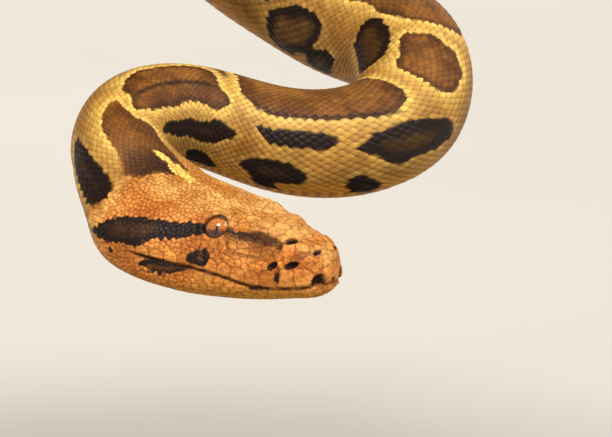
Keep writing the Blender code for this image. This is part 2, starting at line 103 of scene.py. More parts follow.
# How the snake lies: places of its middle line from the snout back, and where its back faces
LAID = (
    ((0.0000, 0.0000, 0.0000), (0, 0, 1)),
    ((-0.0200, 0.0200, 0.0000), (0, 0, 1)),
    ((-0.0420, 0.0420, 0.0005), (0, 0, 1)),
    ((-0.0700, 0.0660, 0.0060), (0, -0.05, 1)),
    ((-0.0825, 0.0860, 0.0175), (0.1, -0.4, 0.85)),
    ((-0.0785, 0.1120, 0.0270), (0.1, -0.4, 0.9)),
    ((-0.0600, 0.1285, 0.0255), (0, -0.1, 1)),
    ((-0.0245, 0.1310, 0.0145), (0, 0, 1)),
    ((0.0040, 0.1325, 0.0125), (0, 0, 1)),
    ((0.0265, 0.1490, 0.0185), (0.1, -0.2, 0.9)),
    ((0.0295, 0.1895, 0.0380), (0.4, -0.4, 0.8)),
    ((0.0045, 0.2205, 0.0455), (0.5, -0.5, 0.7)),
    ((-0.0190, 0.2385, 0.0575), (0.5, -0.3, 0.7)),
    ((-0.0480, 0.2520, 0.0810), (0.4, 0.1, 0.7)),
    ((-0.0610, 0.2690, 0.1450), (0.1, 0.8, 0.2)),
)
# Round the branch the snake winds from the rear over the top, away from the laid part
COIL_START = 0.525  # distance behind the snout
COIL_X = -0.0640
COIL_TURN = 90.0  # degrees from the top, rear side positive
COIL_STEP = 30.0
COIL_END = 2.49
COIL_PITCH = (  # turn, travel along the branch in a full turn
    (90, 0.080), (-270, 0.084), (-700, 0.084), (-1000, 0.072), (-1300, 0.058), (-1700, 0.040),
)
COIL_SLACK = (  # turn, how far a loop hangs off the branch's underside
    (90, 0.0), (-90, 0.008), (-400, 0.045), (-460, 0.045), (-760, 0.020), (-1000, 0.030), (-1250, 0.0),
)
COIL_CLEARANCE = 0.0012  # between the snake and the branch
SLACK_GATHER = 1.5  # how closely the slack keeps to the branch's underside
TAIL_HANG = (  # from the last knot on the branch: out along X, Y and Z
    ((-0.008, -0.006, -0.045), (0, -1, 0.1)),
    ((-0.014, -0.002, -0.090), (0, -1, 0.1)),
    ((-0.020, -0.014, -0.132), (0, -0.9, -0.4)),
    ((-0.022, -0.046, -0.150), (0, -0.2, -1)),
    ((-0.024, -0.072, -0.132), (0, 0.8, -0.6)),
)


# How the skin's plain form is worked out
STEPS_PER_CORNER = 12  # points of a smooth curve to each corner of its loop
PROBE_STEP = 0.0003  # small steps along the skin and round it, to find how it slopes
PROBE_TURN = 0.01
SAME_SIDE = 0.008  # what is farther from the plane that touches the skin is on another side of the head


def natural_cubic(places, values):
    """A smooth curve through values at places, with no jump in its bending."""
    places = np.asarray(places, float)
    values = np.asarray(values, float)
    count = len(places)
    step = np.diff(places)
    rows = np.zeros((count, count))
    right = np.zeros_like(values)
    rows[0, 0] = rows[-1, -1] = 1.0
    for i in range(1, count - 1):
        rows[i, i - 1:i + 2] = step[i - 1], 2 * (step[i - 1] + step[i]), step[i]
        after = (values[i + 1] - values[i]) / step[i]
        before = (values[i] - values[i - 1]) / step[i - 1]
        right[i] = 6 * (after - before)
    bend = np.linalg.solve(rows, right)

    def curve(at):
        i = np.clip(np.searchsorted(places, at) - 1, 0, count - 2)
        shape = (-1,) + (1,) * (values.ndim - 1)
        width = step[i].reshape(shape)
        u = ((at - places[i]) / step[i]).reshape(shape)
        v = 1 - u
        straight = v * values[i] + u * values[i + 1]
        return straight + width ** 2 / 6 * ((v ** 3 - v) * bend[i] + (u ** 3 - u) * bend[i + 1])

    return curve


def monotone(places, values):
    """A smooth curve through values at places that never overshoots them."""
    places = np.asarray(places, float)
    values = np.asarray(values, float)
    width = np.diff(places)
    slope = np.diff(values) / width
    between = (slope[1:] * width[:-1] + slope[:-1] * width[1:]) / (width[1:] + width[:-1])
    lean = np.concatenate([slope[:1], between, slope[-1:]])
    before = np.concatenate([slope[:1], slope])
    after = np.concatenate([slope, slope[-1:]])
    limit = 3 * np.minimum(np.abs(before), np.abs(after))
    lean = np.where(before * after <= 0, 0.0, np.clip(lean, -limit, limit))

    def curve(at):
        at = np.clip(at, places[0], places[-1])
        i = np.clip(np.searchsorted(places, at) - 1, 0, len(width) - 1)
        u = (at - places[i]) / width[i]
        start = (1 + 2 * u) * (1 - u) ** 2 * values[i] + u * (1 - u) ** 2 * width[i] * lean[i]
        return start + u * u * (3 - 2 * u) * values[i + 1] - u * u * (1 - u) * width[i] * lean[i + 1]

    return curve


def unit(vectors):
    return vectors / np.linalg.norm(vectors, axis=-1, keepdims=True)


def smoothstep(value, low, high):
    share = np.clip((value - low) / (high - low), 0, 1)
    return share * share * (3 - 2 * share)


def fade(value, low, high):
    """1 up to low, falling smoothly to 0 at high."""
    return 1 - smoothstep(value, low, high)


def running(steps):
    """How far along each place is when the steps lie end to end, from 0 to the whole."""
    return np.concatenate([[0], np.cumsum(steps)])


def full_turn(count):
    """Directions spaced evenly round a full turn."""
    return np.linspace(0, 2 * math.pi, count, endpoint=False)


def nearest_turn(direction):
    """A direction in the turn from -pi to pi."""
    return np.mod(direction + math.pi, 2 * math.pi) - math.pi


body_radius = monotone(*zip(*BODY_RADII))
mouth_height = monotone(*zip(*MOUTH))


def coil_knots():
    """Knots of the middle line round the branch, each with the way that the back faces."""
    turns, pitches = zip(*reversed(COIL_PITCH))
    slack_turns, slacks = zip(*reversed(COIL_SLACK))
    knots = []
    distance, turn, x = COIL_START, COIL_TURN, COIL_X
    while distance < COIL_END:
        angle = math.radians(turn)
        under = max(0.0, -math.cos(angle)) ** SLACK_GATHER
        reach = BRANCH_RADIUS + float(body_radius(distance)) + COIL_CLEARANCE
        reach += under * np.interp(turn, slack_turns, slacks)
        away = np.array((0.0, math.sin(angle), math.cos(angle)))
        knots.append((np.array((SNOUT[0] + x, BRANCH_Y, BRANCH_Z)) + reach * away, away))
        pitch = np.interp(turn, turns, pitches)
        distance += math.hypot(reach * math.radians(COIL_STEP), pitch * COIL_STEP / 360)
        x -= pitch * COIL_STEP / 360
        turn -= COIL_STEP
    return knots


def course_knots():
    """All knots of the middle line, from the snout to past the tail's tip."""
    laid = [(np.add(SNOUT, place), back) for place, back in LAID]
    coils = coil_knots()
    hang = [(coils[-1][0] + np.array(place), back) for place, back in TAIL_HANG]
    return laid + coils + hang


class Course:
    """The snake's middle line, with the ways ahead, up out of its back and to its right."""

    SAMPLES = 6000

    def __init__(self):
        places, backs = (np.array(each, float) for each in zip(*course_knots()))
        chords = running(np.linalg.norm(np.diff(places, axis=0), axis=1))
        at = np.linspace(0, chords[-1], self.SAMPLES)
        self.place = natural_cubic(chords, places)(at)
        self.distance = running(np.linalg.norm(np.diff(self.place, axis=0), axis=1))
        self.tailward = unit(np.gradient(self.place, axis=0))
        back = natural_cubic(chords, unit(backs))(at)
        back -= np.sum(back * self.tailward, axis=1, keepdims=True) * self.tailward
        self.up = unit(back)
        self.right = np.cross(self.up, self.tailward)

    def at(self, distances):
        """Place, up and right at distances behind the snout."""
        distances = np.asarray(distances, float)
        place, up, right = (np.stack([np.interp(distances, self.distance, column) for column in values.T], -1)
                            for values in (self.place, self.up, self.right))
        return place, unit(up), unit(right)


def rounded(loop):
    """Points along the smooth closed curve that passes through a loop's points."""
    u = np.linspace(0, 1, STEPS_PER_CORNER, endpoint=False)[:, None]
    before, here, after, beyond = (np.roll(loop, k, axis=0)[:, None] for k in (1, 0, -1, -2))
    slope = after - before
    bend = 2 * before - 5 * here + 4 * after - beyond
    turn = 3 * here - before - 3 * after + beyond
    return (here + 0.5 * (slope * u + bend * u ** 2 + turn * u ** 3)).reshape(-1, 2)


def head_section_table(stations, directions):
    """How far the head's skin is from its section's middle, by station and direction."""
    rows = np.array([np.hstack(row) for row in HEAD_SECTIONS])
    tip = rows[0, 0]
    places, at = np.sqrt(rows[:, 0] - tip), np.sqrt(stations - tip)
    shape = np.array([monotone(places, rows[:, k])(at) for k in range(1, rows.shape[1])]).T
    top, bottom = shape[:, 0], shape[:, -1]
    out, high = shape[:, 1:-1:2], shape[:, 2:-1:2]
    zero = np.zeros((len(stations), 1))
    half = np.stack([np.hstack([zero, out, zero]), np.hstack([top[:, None], high, bottom[:, None]])], -1)
    closed = np.concatenate([half, half[:, -2:0:-1] * (-1, 1)], axis=1)
    middle = monotone(*zip(*MIDDLE_HEIGHT))(stations)
    closed[..., 1] -= middle[:, None]
    table = []
    for loop in closed:
        points = rounded(loop)
        turn = np.unwrap(np.arctan2(points[:, 0], points[:, 1]))
        reach = np.hypot(points[:, 0], points[:, 1])
        table.append(np.interp(directions, turn, reach, period=2 * math.pi))
    return np.array(table)


class Skin:
    """The snake's outer surface, by distance behind the snout and direction from the back."""

    HEAD_END = HEAD_SECTIONS[-1][0]
    SPREAD = np.linspace(0, math.sqrt(HEAD_END - SNOUT_TIP / MM), 360)  # closer together at the snout
    STATIONS = SNOUT_TIP / MM + SPREAD ** 2
    DIRECTIONS = np.linspace(-math.pi, math.pi, 361)

    def __init__(self, course):
        self.course = course
        self.table = head_section_table(self.STATIONS, self.DIRECTIONS)

    def head_reach(self, distance, direction):
        """How far the head's skin is from its section's middle, in metres."""
        spread = np.sqrt(np.clip((distance - SNOUT_TIP) / MM, 0, self.SPREAD[-1] ** 2))
        row = spread / self.SPREAD[-1] * (len(self.SPREAD) - 1)
        column = (direction + math.pi) / (2 * math.pi) * (len(self.DIRECTIONS) - 1)
        i = np.clip(row.astype(int), 0, len(self.STATIONS) - 2)
        j = np.clip(column.astype(int), 0, len(self.DIRECTIONS) - 2)
        u, v = row - i, column - j
        near, far = ((1 - v) * self.table[k, j] + v * self.table[k, j + 1] for k in (i, i + 1))
        return MM * ((1 - u) * near + u * far)

    def section(self, distance, direction):
        """Out to the right and up from the middle line, in metres."""
        direction = nearest_turn(direction)
        side, height = np.sin(direction), np.cos(direction)
        reach = self.head_reach(distance, direction)
        lift = MM * monotone(*zip(*MIDDLE_HEIGHT))(distance / MM)
        radius = body_radius(distance)
        round_reach = radius * (1 - BELLY_FLATNESS * smoothstep(-height, 0.3, 1.0))
        blend = smoothstep(distance, *NECK_BLEND)
        out = (1 - blend) * reach * side + blend * round_reach * side
        up = (1 - blend) * (reach * height + lift) + blend * round_reach * height
        return out, up

    def point(self, distance, direction):
        """Places on the skin, in the frame's axes."""
        distance, direction = np.broadcast_arrays(np.asarray(distance, float), np.asarray(direction, float))
        place, up, right = self.course.at(distance)
        out, high = self.section(distance, direction)
        return place + out[..., None] * right + high[..., None] * up


def skin_spot(skin, behind, direction):
    """A place on the plain skin, with the ways tailward, round the body and out from it."""
    here = skin.point(behind, direction)
    tailward = unit(skin.point(behind + PROBE_STEP, direction) - here)
    outward = unit(np.cross(tailward, skin.point(behind, direction + PROBE_TURN) - here))
    return here, tailward, np.cross(outward, tailward), outward


def seen_from(spot, points):
    """Points as seen from a place on the skin: tailward, round the body and outward."""
    here, *ways = spot
    return [(points - here) @ way for way in ways]


class Oval:
    """A tilted oval on the skin, its half length and half width in millimetres."""

    def __init__(self, skin, behind, direction, half_length, half_width, tilt):
        tilt = math.radians(math.copysign(1, direction) * tilt)
        self.spot = skin_spot(skin, behind * MM, math.radians(direction))
        self.cosine, self.sine = math.cos(tilt), math.sin(tilt)
        self.half_length, self.half_width = half_length * MM, half_width * MM

    def reach(self, points):
        """The square of how far points are from the middle: 1 on the oval, and 9 well off the skin."""
        u, v, w = seen_from(self.spot, points)
        reach = ((u * self.cosine + v * self.sine) / self.half_length) ** 2
        reach += ((v * self.cosine - u * self.sine) / self.half_width) ** 2
        return np.where(np.abs(w) < SAME_SIDE, reach, 9.0)


def both_sides(skin, features):
    """The oval of each feature on each side of the head, with the feature's height."""
    for behind, direction, half_length, half_width, tilt, height in features:
        for side in (-1, 1) if direction else (1,):
            yield Oval(skin, behind, side * direction, half_length, half_width, tilt), height


# ---------------------------------------------------------------- meshes and materials

def corner_lists(faces):
    """The corners of all faces in one row, and where each face starts in it."""
    return np.concatenate([np.asarray(face) for face in faces]), running([len(face) for face in faces])[:-1]


def repeated(faces, copies, points_each):
    """The same faces again for each of many copies of a small shape."""
    corners, starts = corner_lists(faces)
    shift = np.arange(copies)[:, None]
    return (corners + shift * points_each).ravel(), (starts + shift * len(corners)).ravel()


def ring_quads(rings, columns):
    """Quads between rings of points, each ring closed on itself."""
    ring, column = np.meshgrid(np.arange(rings - 1), np.arange(columns), indexing="ij")
    here, after = ring * columns + column, ring * columns + (column + 1) % columns
    return np.stack([here, after, after + columns, here + columns], -1).reshape(-1, 4)


def net_faces(rings, columns):
    """Quads between the rings, and a face across each end."""
    quads = ring_quads(rings, columns)
    ring = np.arange(columns)
    corners = np.concatenate([quads.ravel(), ring[::-1], ring + (rings - 1) * columns])
    return corners, np.concatenate([np.arange(len(quads)) * 4, len(quads) * 4 + np.array([0, columns])])


def share_round(direction):
    """A direction as a share of the turn from -pi to pi."""
    return direction / (2 * math.pi) + 0.5


def bake_places(u, v, corners):
    """The map for baking: one place on it for each corner of the faces."""
    return np.clip(np.stack([u, v], -1), 0, 1).reshape(-1, 2)[corners]


def make_piece(name, points, corners, starts, material, marks=None, tone=None, bake=None, sharp=None):
    """A smooth-shaded mesh that rides on the model, with its painting and its map for baking."""
    mesh = bpy.data.meshes.new(name)
    mesh.vertices.add(len(points))
    mesh.vertices.foreach_set("co", np.asarray(points, np.float32).ravel())
    mesh.loops.add(len(corners))
    mesh.loops.foreach_set("vertex_index", np.asarray(corners, np.int32))
    mesh.polygons.add(len(starts))
    mesh.polygons.foreach_set("loop_start", np.asarray(starts, np.int32))
    mesh.update(calc_edges=True)
    for label, values in (("marks", marks), ("tone", tone)):
        if values is not None:
            layer = mesh.attributes.new(label, "FLOAT_COLOR", "POINT")
            layer.data.foreach_set("color", np.asarray(values, np.float32).ravel())
    if bake is not None:
        layer = mesh.uv_layers.new(name="OFBake")
        layer.data.foreach_set("uv", np.asarray(bake, np.float32).ravel())
    mesh.shade_smooth()
    if sharp is not None:
        mesh.set_sharp_from_angle(angle=math.radians(sharp))
    mesh.validate()
    mesh.materials.append(material)
    piece = bpy.data.objects.new(name, mesh)
    bpy.context.scene.collection.objects.link(piece)
    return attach(piece, "root")


def colour(red, green, blue):
    """A colour given as it looks on a screen, 0 to 255, in the renderer's linear values."""
    shares = np.array((red, green, blue)) / 255
    linear = np.where(shares <= 0.04045, shares / 12.92, ((shares + 0.055) / 1.055) ** 2.4)
    return (*(float(value) for value in linear), 1.0)


class Look:
    """A material being put together from nodes."""

    def __init__(self, name):
        self.material = bpy.data.materials.new(name)
        self.material.use_nodes = True
        self.tree = self.material.node_tree
        self.shader = self.tree.nodes["Principled BSDF"]

    def node(self, kind, **settings):
        made = self.tree.nodes.new(kind)
        for name, value in settings.items():
            setattr(made, name, value)
        return made

    def join(self, value, socket):
        """Links a socket to another, or sets it to a plain value."""
        if isinstance(value, bpy.types.NodeSocket):
            self.tree.links.new(value, socket)
        else:
            socket.default_value = value

    def set(self, **values):
        """Values of the shader's own inputs, by name with _ for a space."""
        for name, value in values.items():
            self.join(value, self.shader.inputs[name.replace("_", " ")])

    def channels(self, attribute):
        """The four channels of one of the mesh's painted layers."""
        painted = self.node("ShaderNodeAttribute", attribute_name=attribute)
        parts = self.node("ShaderNodeSeparateColor")
        self.join(painted.outputs["Color"], parts.inputs["Color"])
        return parts.outputs[0], parts.outputs[1], parts.outputs[2], painted.outputs["Alpha"]

    def place(self, longer=(1, 1, 1), turn=0.0):
        """The place on the piece, in metres, shrunk along its axes after a turn about Z."""
        where = self.node("ShaderNodeTexCoord").outputs["Object"]
        mapping = self.node("ShaderNodeMapping", vector_type="TEXTURE")
        self.join(where, mapping.inputs["Vector"])
        self.join((0.0, 0.0, turn), mapping.inputs["Rotation"])
        self.join(longer, mapping.inputs["Scale"])
        return mapping.outputs["Vector"]

    def noise(self, size, detail=2.0, longer=(1, 1, 1), turn=0.0):
        """Cloudy noise whose lumps are about as big as size, in metres, and so much longer each way."""
        made = self.node("ShaderNodeTexNoise")
        self.join(self.place(longer, turn), made.inputs["Vector"])
        self.join(1 / size, made.inputs["Scale"])
        self.join(detail, made.inputs["Detail"])
        return made.outputs["Fac"]

    def maths(self, operation, *values):
        made = self.node("ShaderNodeMath", operation=operation)
        for value, socket in zip(values, made.inputs):
            self.join(value, socket)
        return made.outputs[0]

    def times(self, first, second):
        return self.maths("MULTIPLY", first, second)

    def plus(self, first, second):
        return self.maths("ADD", first, second)

    def spread(self, value, low, high, to_low=0.0, to_high=1.0):
        """Value from low to high turned smoothly into to_low to to_high."""
        made = self.node("ShaderNodeMapRange", interpolation_type="SMOOTHSTEP")
        for name, number in zip(("Value", "From Min", "From Max", "To Min", "To Max"),
                                (value, low, high, to_low, to_high)):
            self.join(number, made.inputs[name])
        return made.outputs["Result"]

    def mix(self, share, first, second, way="MIX"):
        made = self.node("ShaderNodeMix", data_type="RGBA", blend_type=way)
        self.join(share, made.inputs[0])
        for value, socket in zip((first, second), made.inputs[6:8]):  # the two colours
            self.join(value, socket)
        return made.outputs[2]

    def blend(self, value, low, high, first, second):
        """The first colour where value is low and the second where it is high."""
        return self.mix(self.spread(value, low, high), first, second)

    def tinted(self, share, base, tint):
        """So much of a colour multiplied by a tint."""
        return self.mix(share, base, self.mix(1.0, base, tint, "MULTIPLY"))

    def grey(self, value):
        """A number as a shade of grey."""
        made = self.node("ShaderNodeCombineColor")
        for socket in made.inputs:
            self.join(value, socket)
        return made.outputs[0]

    def bump(self, height, distance, strength=1.0, on=None):
        made = self.node("ShaderNodeBump")
        self.join(height, made.inputs["Height"])
        self.join(distance, made.inputs["Distance"])
        self.join(strength, made.inputs["Strength"])
        if on is not None:
            self.join(on, made.inputs["Normal"])
        return made.outputs["Normal"]


# ---------------------------------------------------------------- the snake's markings

# Outlines are (millimetres behind the snout, degrees from the middle of the back), left side negative
NAPE = (
    (134, 15), (133, 6), (129, -4), (125, -10), (124, -24), (119, -35), (112, -36), (103, -34), (92, -22),
    (84, -9), (78, 3), (81, 11), (86, 17), (89, 25), (93, 40), (97, 50), (101, 51), (104, 40), (108, 31),
    (113, 29), (119, 30), (124, 28), (129, 26), (132, 22),
)
NAPE_STREAK = (
    (104, -5), (102, -13), (92, -13), (84, -8), (73, 2), (69, 6), (74, 13), (79, 11), (86, 8), (94, -1),
    (100, -1),
)
FIRST_SADDLES = (
    ((147, 18), (156, 15), (165, 6), (176, 1), (182, -10), (184, -27), (187, -40), (191, -49), (192, -60),
     (184, -65), (174, -60), (162, -52), (148, -47), (134, -31), (130, -13), (137, -5), (142, 9)),
    ((191, 11), (196, 30), (212, 42), (240, 44), (258, 40), (262, 28), (263, 15), (264, -8), (266, -30),
     (258, -49), (230, -51), (205, -49), (196, -37), (193, -15)),
    ((275, 0), (280, 19), (290, 27), (298, 32), (301, 30), (300, -4), (293, -41), (280, -51), (276, -30)),
)
SADDLE_LINES = (
    ((138, -4), (150, -13), (166, -26), (184, -36), (184, -40), (166, -32), (150, -19), (138, -10)),
    ((200, -44), (222, -47), (258, -45), (262, -49), (240, -52), (205, -50)),
    ((184, 8), (188, 8), (189, -15), (186, -14)),
)
LEFT_BLOTCHES = (
    ((123, -57), (129, -54), (143, -60), (162, -71), (178, -80), (189, -75), (198, -78), (200, -87),
     (191, -97), (185, -109), (172, -102), (149, -86)),
    ((205, -64), (222, -64), (237, -65), (238, -75), (233, -87), (224, -81), (215, -82), (210, -74)),
    ((248, -65), (260, -58), (273, -64), (277, -79), (271, -93), (259, -100), (253, -102), (246, -89),
     (242, -83), (246, -74)),
    ((204, -112), (211, -98), (218, -95), (225, -99), (230, -112), (226, -125), (219, -127), (221, -142),
     (213, -142), (209, -121)),
    ((170, -118), (182, -116), (192, -122), (198, -134), (190, -146), (176, -140)),
    ((239, -119), (243, -107), (250, -120), (250, -149), (242, -142)),
)
RIGHT_BLOTCHES = (
    ((97, 80), (104, 88), (118, 88), (126, 80), (127, 68), (122, 58), (112, 55), (102, 60), (97, 70)),
    ((150, 56), (168, 60), (184, 70), (190, 84), (180, 98), (164, 96), (150, 82), (145, 68)),
    ((206, 62), (230, 60), (240, 74), (232, 92), (214, 94), (204, 80)),
    ((323, 70), (321, 56), (312, 48), (299, 42), (288, 40), (282, 60), (290, 85), (301, 97), (319, 95)),
    ((382, 96), (376, 79), (360, 66), (350, 74), (349, 93), (358, 113), (372, 132), (379, 124)),
    ((358, 108), (346, 100), (338, 112), (346, 130), (354, 141), (361, 126)),
    ((106, 104), (124, 102), (134, 110), (130, 122), (116, 126), (107, 116)),
)
CORNER_CUT = 0.22  # of a side, how much of each end is cut off to round an outline

# Behind the outlines a rule goes on with the markings; millimetres and degrees
PATTERN_START = 307.0
PATTERN_END = LENGTH / MM - 30
RIGHT_RULED_START = 385.0  # on the right flank
SADDLE_GAP = 13.0
SADDLE_HALF = 44.0
SADDLE_SQUARENESS, SADDLE_UNEVENNESS = 0.62, 0.07
FLANK_MIDDLE = 76.0  # the direction of the upper row of blotches
LOWER_MIDDLE = 117.0

# The head's marks are given for its right side, and the left mirrors them
EYE_STRIPE = (
    (50, 61), (54.5, 64), (60.5, 67.5), (65.5, 70.5), (70.5, 72), (75.5, 75.5), (80.5, 77.5), (85.5, 80),
    (88, 82), (91, 87), (92, 92), (96, 98), (97, 105), (90, 103), (82, 98), (75, 95), (70, 88), (62, 83),
    (56, 78), (49, 74),
)
STRIPE_MIDDLE = ((68, 75), (80, 80), (88, 86), (88, 97), (80, 93), (72, 86))
HEAD_MARKS = (
    ((45.5, 87), (49, 86), (51, 91), (54.5, 93), (54.5, 100), (51, 101), (48, 103), (45.5, 101)),
    ((53, 106.5), (57, 108), (61, 110), (65, 112), (70, 111.5), (75, 111), (75, 107), (72, 104),
     (68, 103), (64, 102), (60, 103), (56, 105)),
    ((86, 105.5), (88, 105.5), (88, 108.5), (86, 108.5)),
    ((35, 58), (38.5, 59), (42.5, 60), (42.5, 62.5), (38.5, 62), (34.5, 60.5)),
    ((21, 119), (29, 119), (29, 123), (24, 124), (21, 122)),
    ((11.5, 119.5), (17, 120), (16, 123), (12, 123)),
    ((17, 101), (18, 101), (18.5, 107), (18.5, 112), (17, 116), (16.5, 114), (17, 107)),
)
SPOT_LIGHTS = (  # the pale middles of two of those marks
    ((47, 91), (50, 91), (50, 98), (47, 98)),
    ((57, 105), (71, 106), (72, 110), (60, 109)),
)
NOSE_BAND = (
    (43, 57.5), (37, 55), (31.5, 51.5), (26.5, 48), (20.5, 46), (18, 54), (20.5, 62), (25.5, 65),
    (30.5, 66), (36.5, 65.5), (42.5, 64),
)
# painted shade in the hollow before the eye, laid on as brown
NOSE_SHADE = ((18, 62), (30, 64), (41, 65), (40, 75), (31, 82), (20, 80))


# Where colours come in: depths inside an outline, mm
SADDLE_EDGE = (-0.3, 0.4)
SADDLE_RIM_OUTER, SADDLE_RIM_INNER = (-0.6, 0.3), (0.9, 3.2)
SADDLE_PALE = (4.0, 11.0)
LINE_EDGE = (-0.8, 0.8)
STREAK_EDGE = (-0.5, 0.5)
BLOTCH_EDGE, BLOTCH_HEART = (-0.3, 0.5), (3.0, 7.5)
NAPE_DARK = (0.2, 2.4)
STRIPE_EDGE, STRIPE_HEART = (-0.35, 0.35), (1.0, 2.5)
SPOT_EDGE, SPOT_LIGHT_EDGE = (-0.3, 0.3), (-0.5, 0.8)
BAND_EDGE, SOFT_EDGE = (-0.8, 0.6), (-2, 2)
# and distances behind the snout, mm
PALE_HEARTS = (300, 420)
DARK_NAPE_END = (92, 118)
CREAM_START, NAPE_CREAM_START = (96, 120), (90, 112)
BELLY_START = (4, 12)
HEAD_COLOUR_END = (88, 106)
# and directions, degrees
BELLY_SIDE = (108, 136)
CHEEK_SIDE = (44, 62)
SADDLE_GLOW, BLOTCH_GLOW = 4.0, 2.2  # how far the cream round a marking reaches, mm
HEAD_GIRTH = ((0, 9), (20, 15), (50, 25), (80, 28), (105, 20))  # distance, about how far out the skin is, mm


def rounded_outline(outline):
    """A closed outline with its corners cut off."""
    points = np.array(outline, float)
    after = np.roll(points, -1, axis=0)
    keep, cut = 1 - CORNER_CUT, CORNER_CUT
    return np.stack([keep * points + cut * after, cut * points + keep * after], 1).reshape(-1, 2)


def girth_radius(millimetres):
    """About how far the skin is from the middle line, mm, to turn degrees into millimetres."""
    if millimetres < HEAD_GIRTH[-1][0]:
        return np.interp(millimetres, *zip(*HEAD_GIRTH))
    return float(body_radius(millimetres * MM)) / MM


def depth_inside(start, edge, here):
    """How far places lie inside a closed outline, from the starts and the ways of its edges."""
    share = np.clip(np.sum((here - start) * edge, -1) / np.sum(edge * edge, -1), 0, 1)
    distance = np.min(np.linalg.norm(here - start - share[..., None] * edge, axis=-1), axis=1)
    crosses = (start[:, 1] > here[..., 1]) != (start[:, 1] + edge[:, 1] > here[..., 1])
    level = np.where(np.abs(edge[:, 1]) < 1e-9, 1e-9, edge[:, 1])
    meets = start[:, 0] + (here[..., 1] - start[:, 1]) * edge[:, 0] / level
    inner = np.sum(crosses & (here[..., 0] < meets), axis=1) % 2 == 1
    return np.where(inner, distance, -distance)


def inside_by(outline, along, around):
    """How far places lie inside an outline, in millimetres, and less than 0 outside it."""
    result = np.full(len(along), -99.0)
    points = rounded_outline(outline)
    low, high = points.min(axis=0) - (8, 30), points.max(axis=0) + (8, 30)
    close = (along > low[0]) & (along < high[0]) & (around > low[1]) & (around < high[1])
    if close.any():
        scale = np.array((1.0, math.radians(girth_radius(points[:, 0].mean()))))
        start = points * scale
        here = np.stack([along[close], around[close]], 1)[:, None] * scale
        result[close] = depth_inside(start, np.roll(start, -1, axis=0) - start, here)
    return result


def deepest(outlines, along, around):
    return np.max([inside_by(outline, along, around) for outline in outlines], axis=0)


def blob(middle, half_length, middle_angle, half_angle, squareness, unevenness, rng):
    """An outline between an ellipse and a box, a little uneven."""
    turns = full_turn(18)
    waves = sum(rng.normal() / k * np.sin(k * turns + rng.uniform(0, 6.3)) for k in (2, 3, 4, 5))
    grow = 1 + unevenness * waves
    out, up = (np.sign(way) * np.abs(way) ** squareness for way in (np.cos(turns), np.sin(turns)))
    return np.stack([middle + half_length * out * grow, middle_angle + half_angle * up * grow], 1)


def flank_blotches(middle, length, side, rng):
    """The upper and the lower blotch that go with one saddle on one side."""
    shift = rng.normal(0, 0.08) * length
    upper = blob(middle + shift, length * rng.uniform(0.27, 0.36), side * FLANK_MIDDLE,
                 rng.uniform(13, 19), 0.8, 0.12, rng)
    behind = middle + (0.5 + rng.normal(0, 0.06)) * (length + SADDLE_GAP)
    lower = blob(behind, length * rng.uniform(0.15, 0.24), side * (LOWER_MIDDLE + rng.normal(0, 5)),
                 rng.uniform(8, 13), 0.9, 0.15, rng)
    return upper, lower


def ruled_pattern():
    """The saddles and blotches behind the first ones, from the forebody to the tail's tip."""
    rng = np.random.default_rng(11)
    saddles, blotches = [], []
    start = PATTERN_START
    while start < PATTERN_END:
        length = 24 + 1.05 * min(float(body_radius(start * MM)) / MM, 38)
        middle = start + length / 2
        saddles.append(blob(middle, length / 2, rng.normal(0, 4), SADDLE_HALF + rng.normal(0, 4),
                            SADDLE_SQUARENESS, SADDLE_UNEVENNESS, rng))
        for side in (-1, 1):
            pair = flank_blotches(middle, length, side, rng)
            if side < 0 or middle > RIGHT_RULED_START:
                blotches += pair
        start += length + SADDLE_GAP * rng.uniform(0.8, 1.25)
    return saddles, blotches


def head_marks_at(along, around, ragged):
    """The head's brown and dark shares, the brown with painted shade in the hollow before the eye, and what
    is the head: half on its crown, all on its cheeks.
    """
    stripe_depth = inside_by(EYE_STRIPE, along, around) + 0.7 * ragged
    stripe = smoothstep(stripe_depth, *STRIPE_EDGE)
    middle = smoothstep(inside_by(STRIPE_MIDDLE, along, around), *SOFT_EDGE)
    middle = middle * smoothstep(stripe_depth, *STRIPE_HEART)
    spots = smoothstep(deepest(HEAD_MARKS, along, around) + 0.4 * ragged, *SPOT_EDGE)
    light = smoothstep(deepest(SPOT_LIGHTS, along, around), *SPOT_LIGHT_EDGE)
    band = smoothstep(inside_by(NOSE_BAND, along, around) + ragged, *BAND_EDGE)
    # painted shade in the hollow before the eye
    shade = 0.45 * smoothstep(inside_by(NOSE_SHADE, along, around) + ragged, *SOFT_EDGE)
    brown = np.maximum.reduce([stripe, spots, band, shade])
    dark = np.maximum.reduce([stripe * (1 - 0.28 * middle), spots * (1 - 0.55 * light), 0.32 * band])
    return brown, dark, fade(along, *HEAD_COLOUR_END) * (0.5 + 0.5 * smoothstep(around, *CHEEK_SIDE))


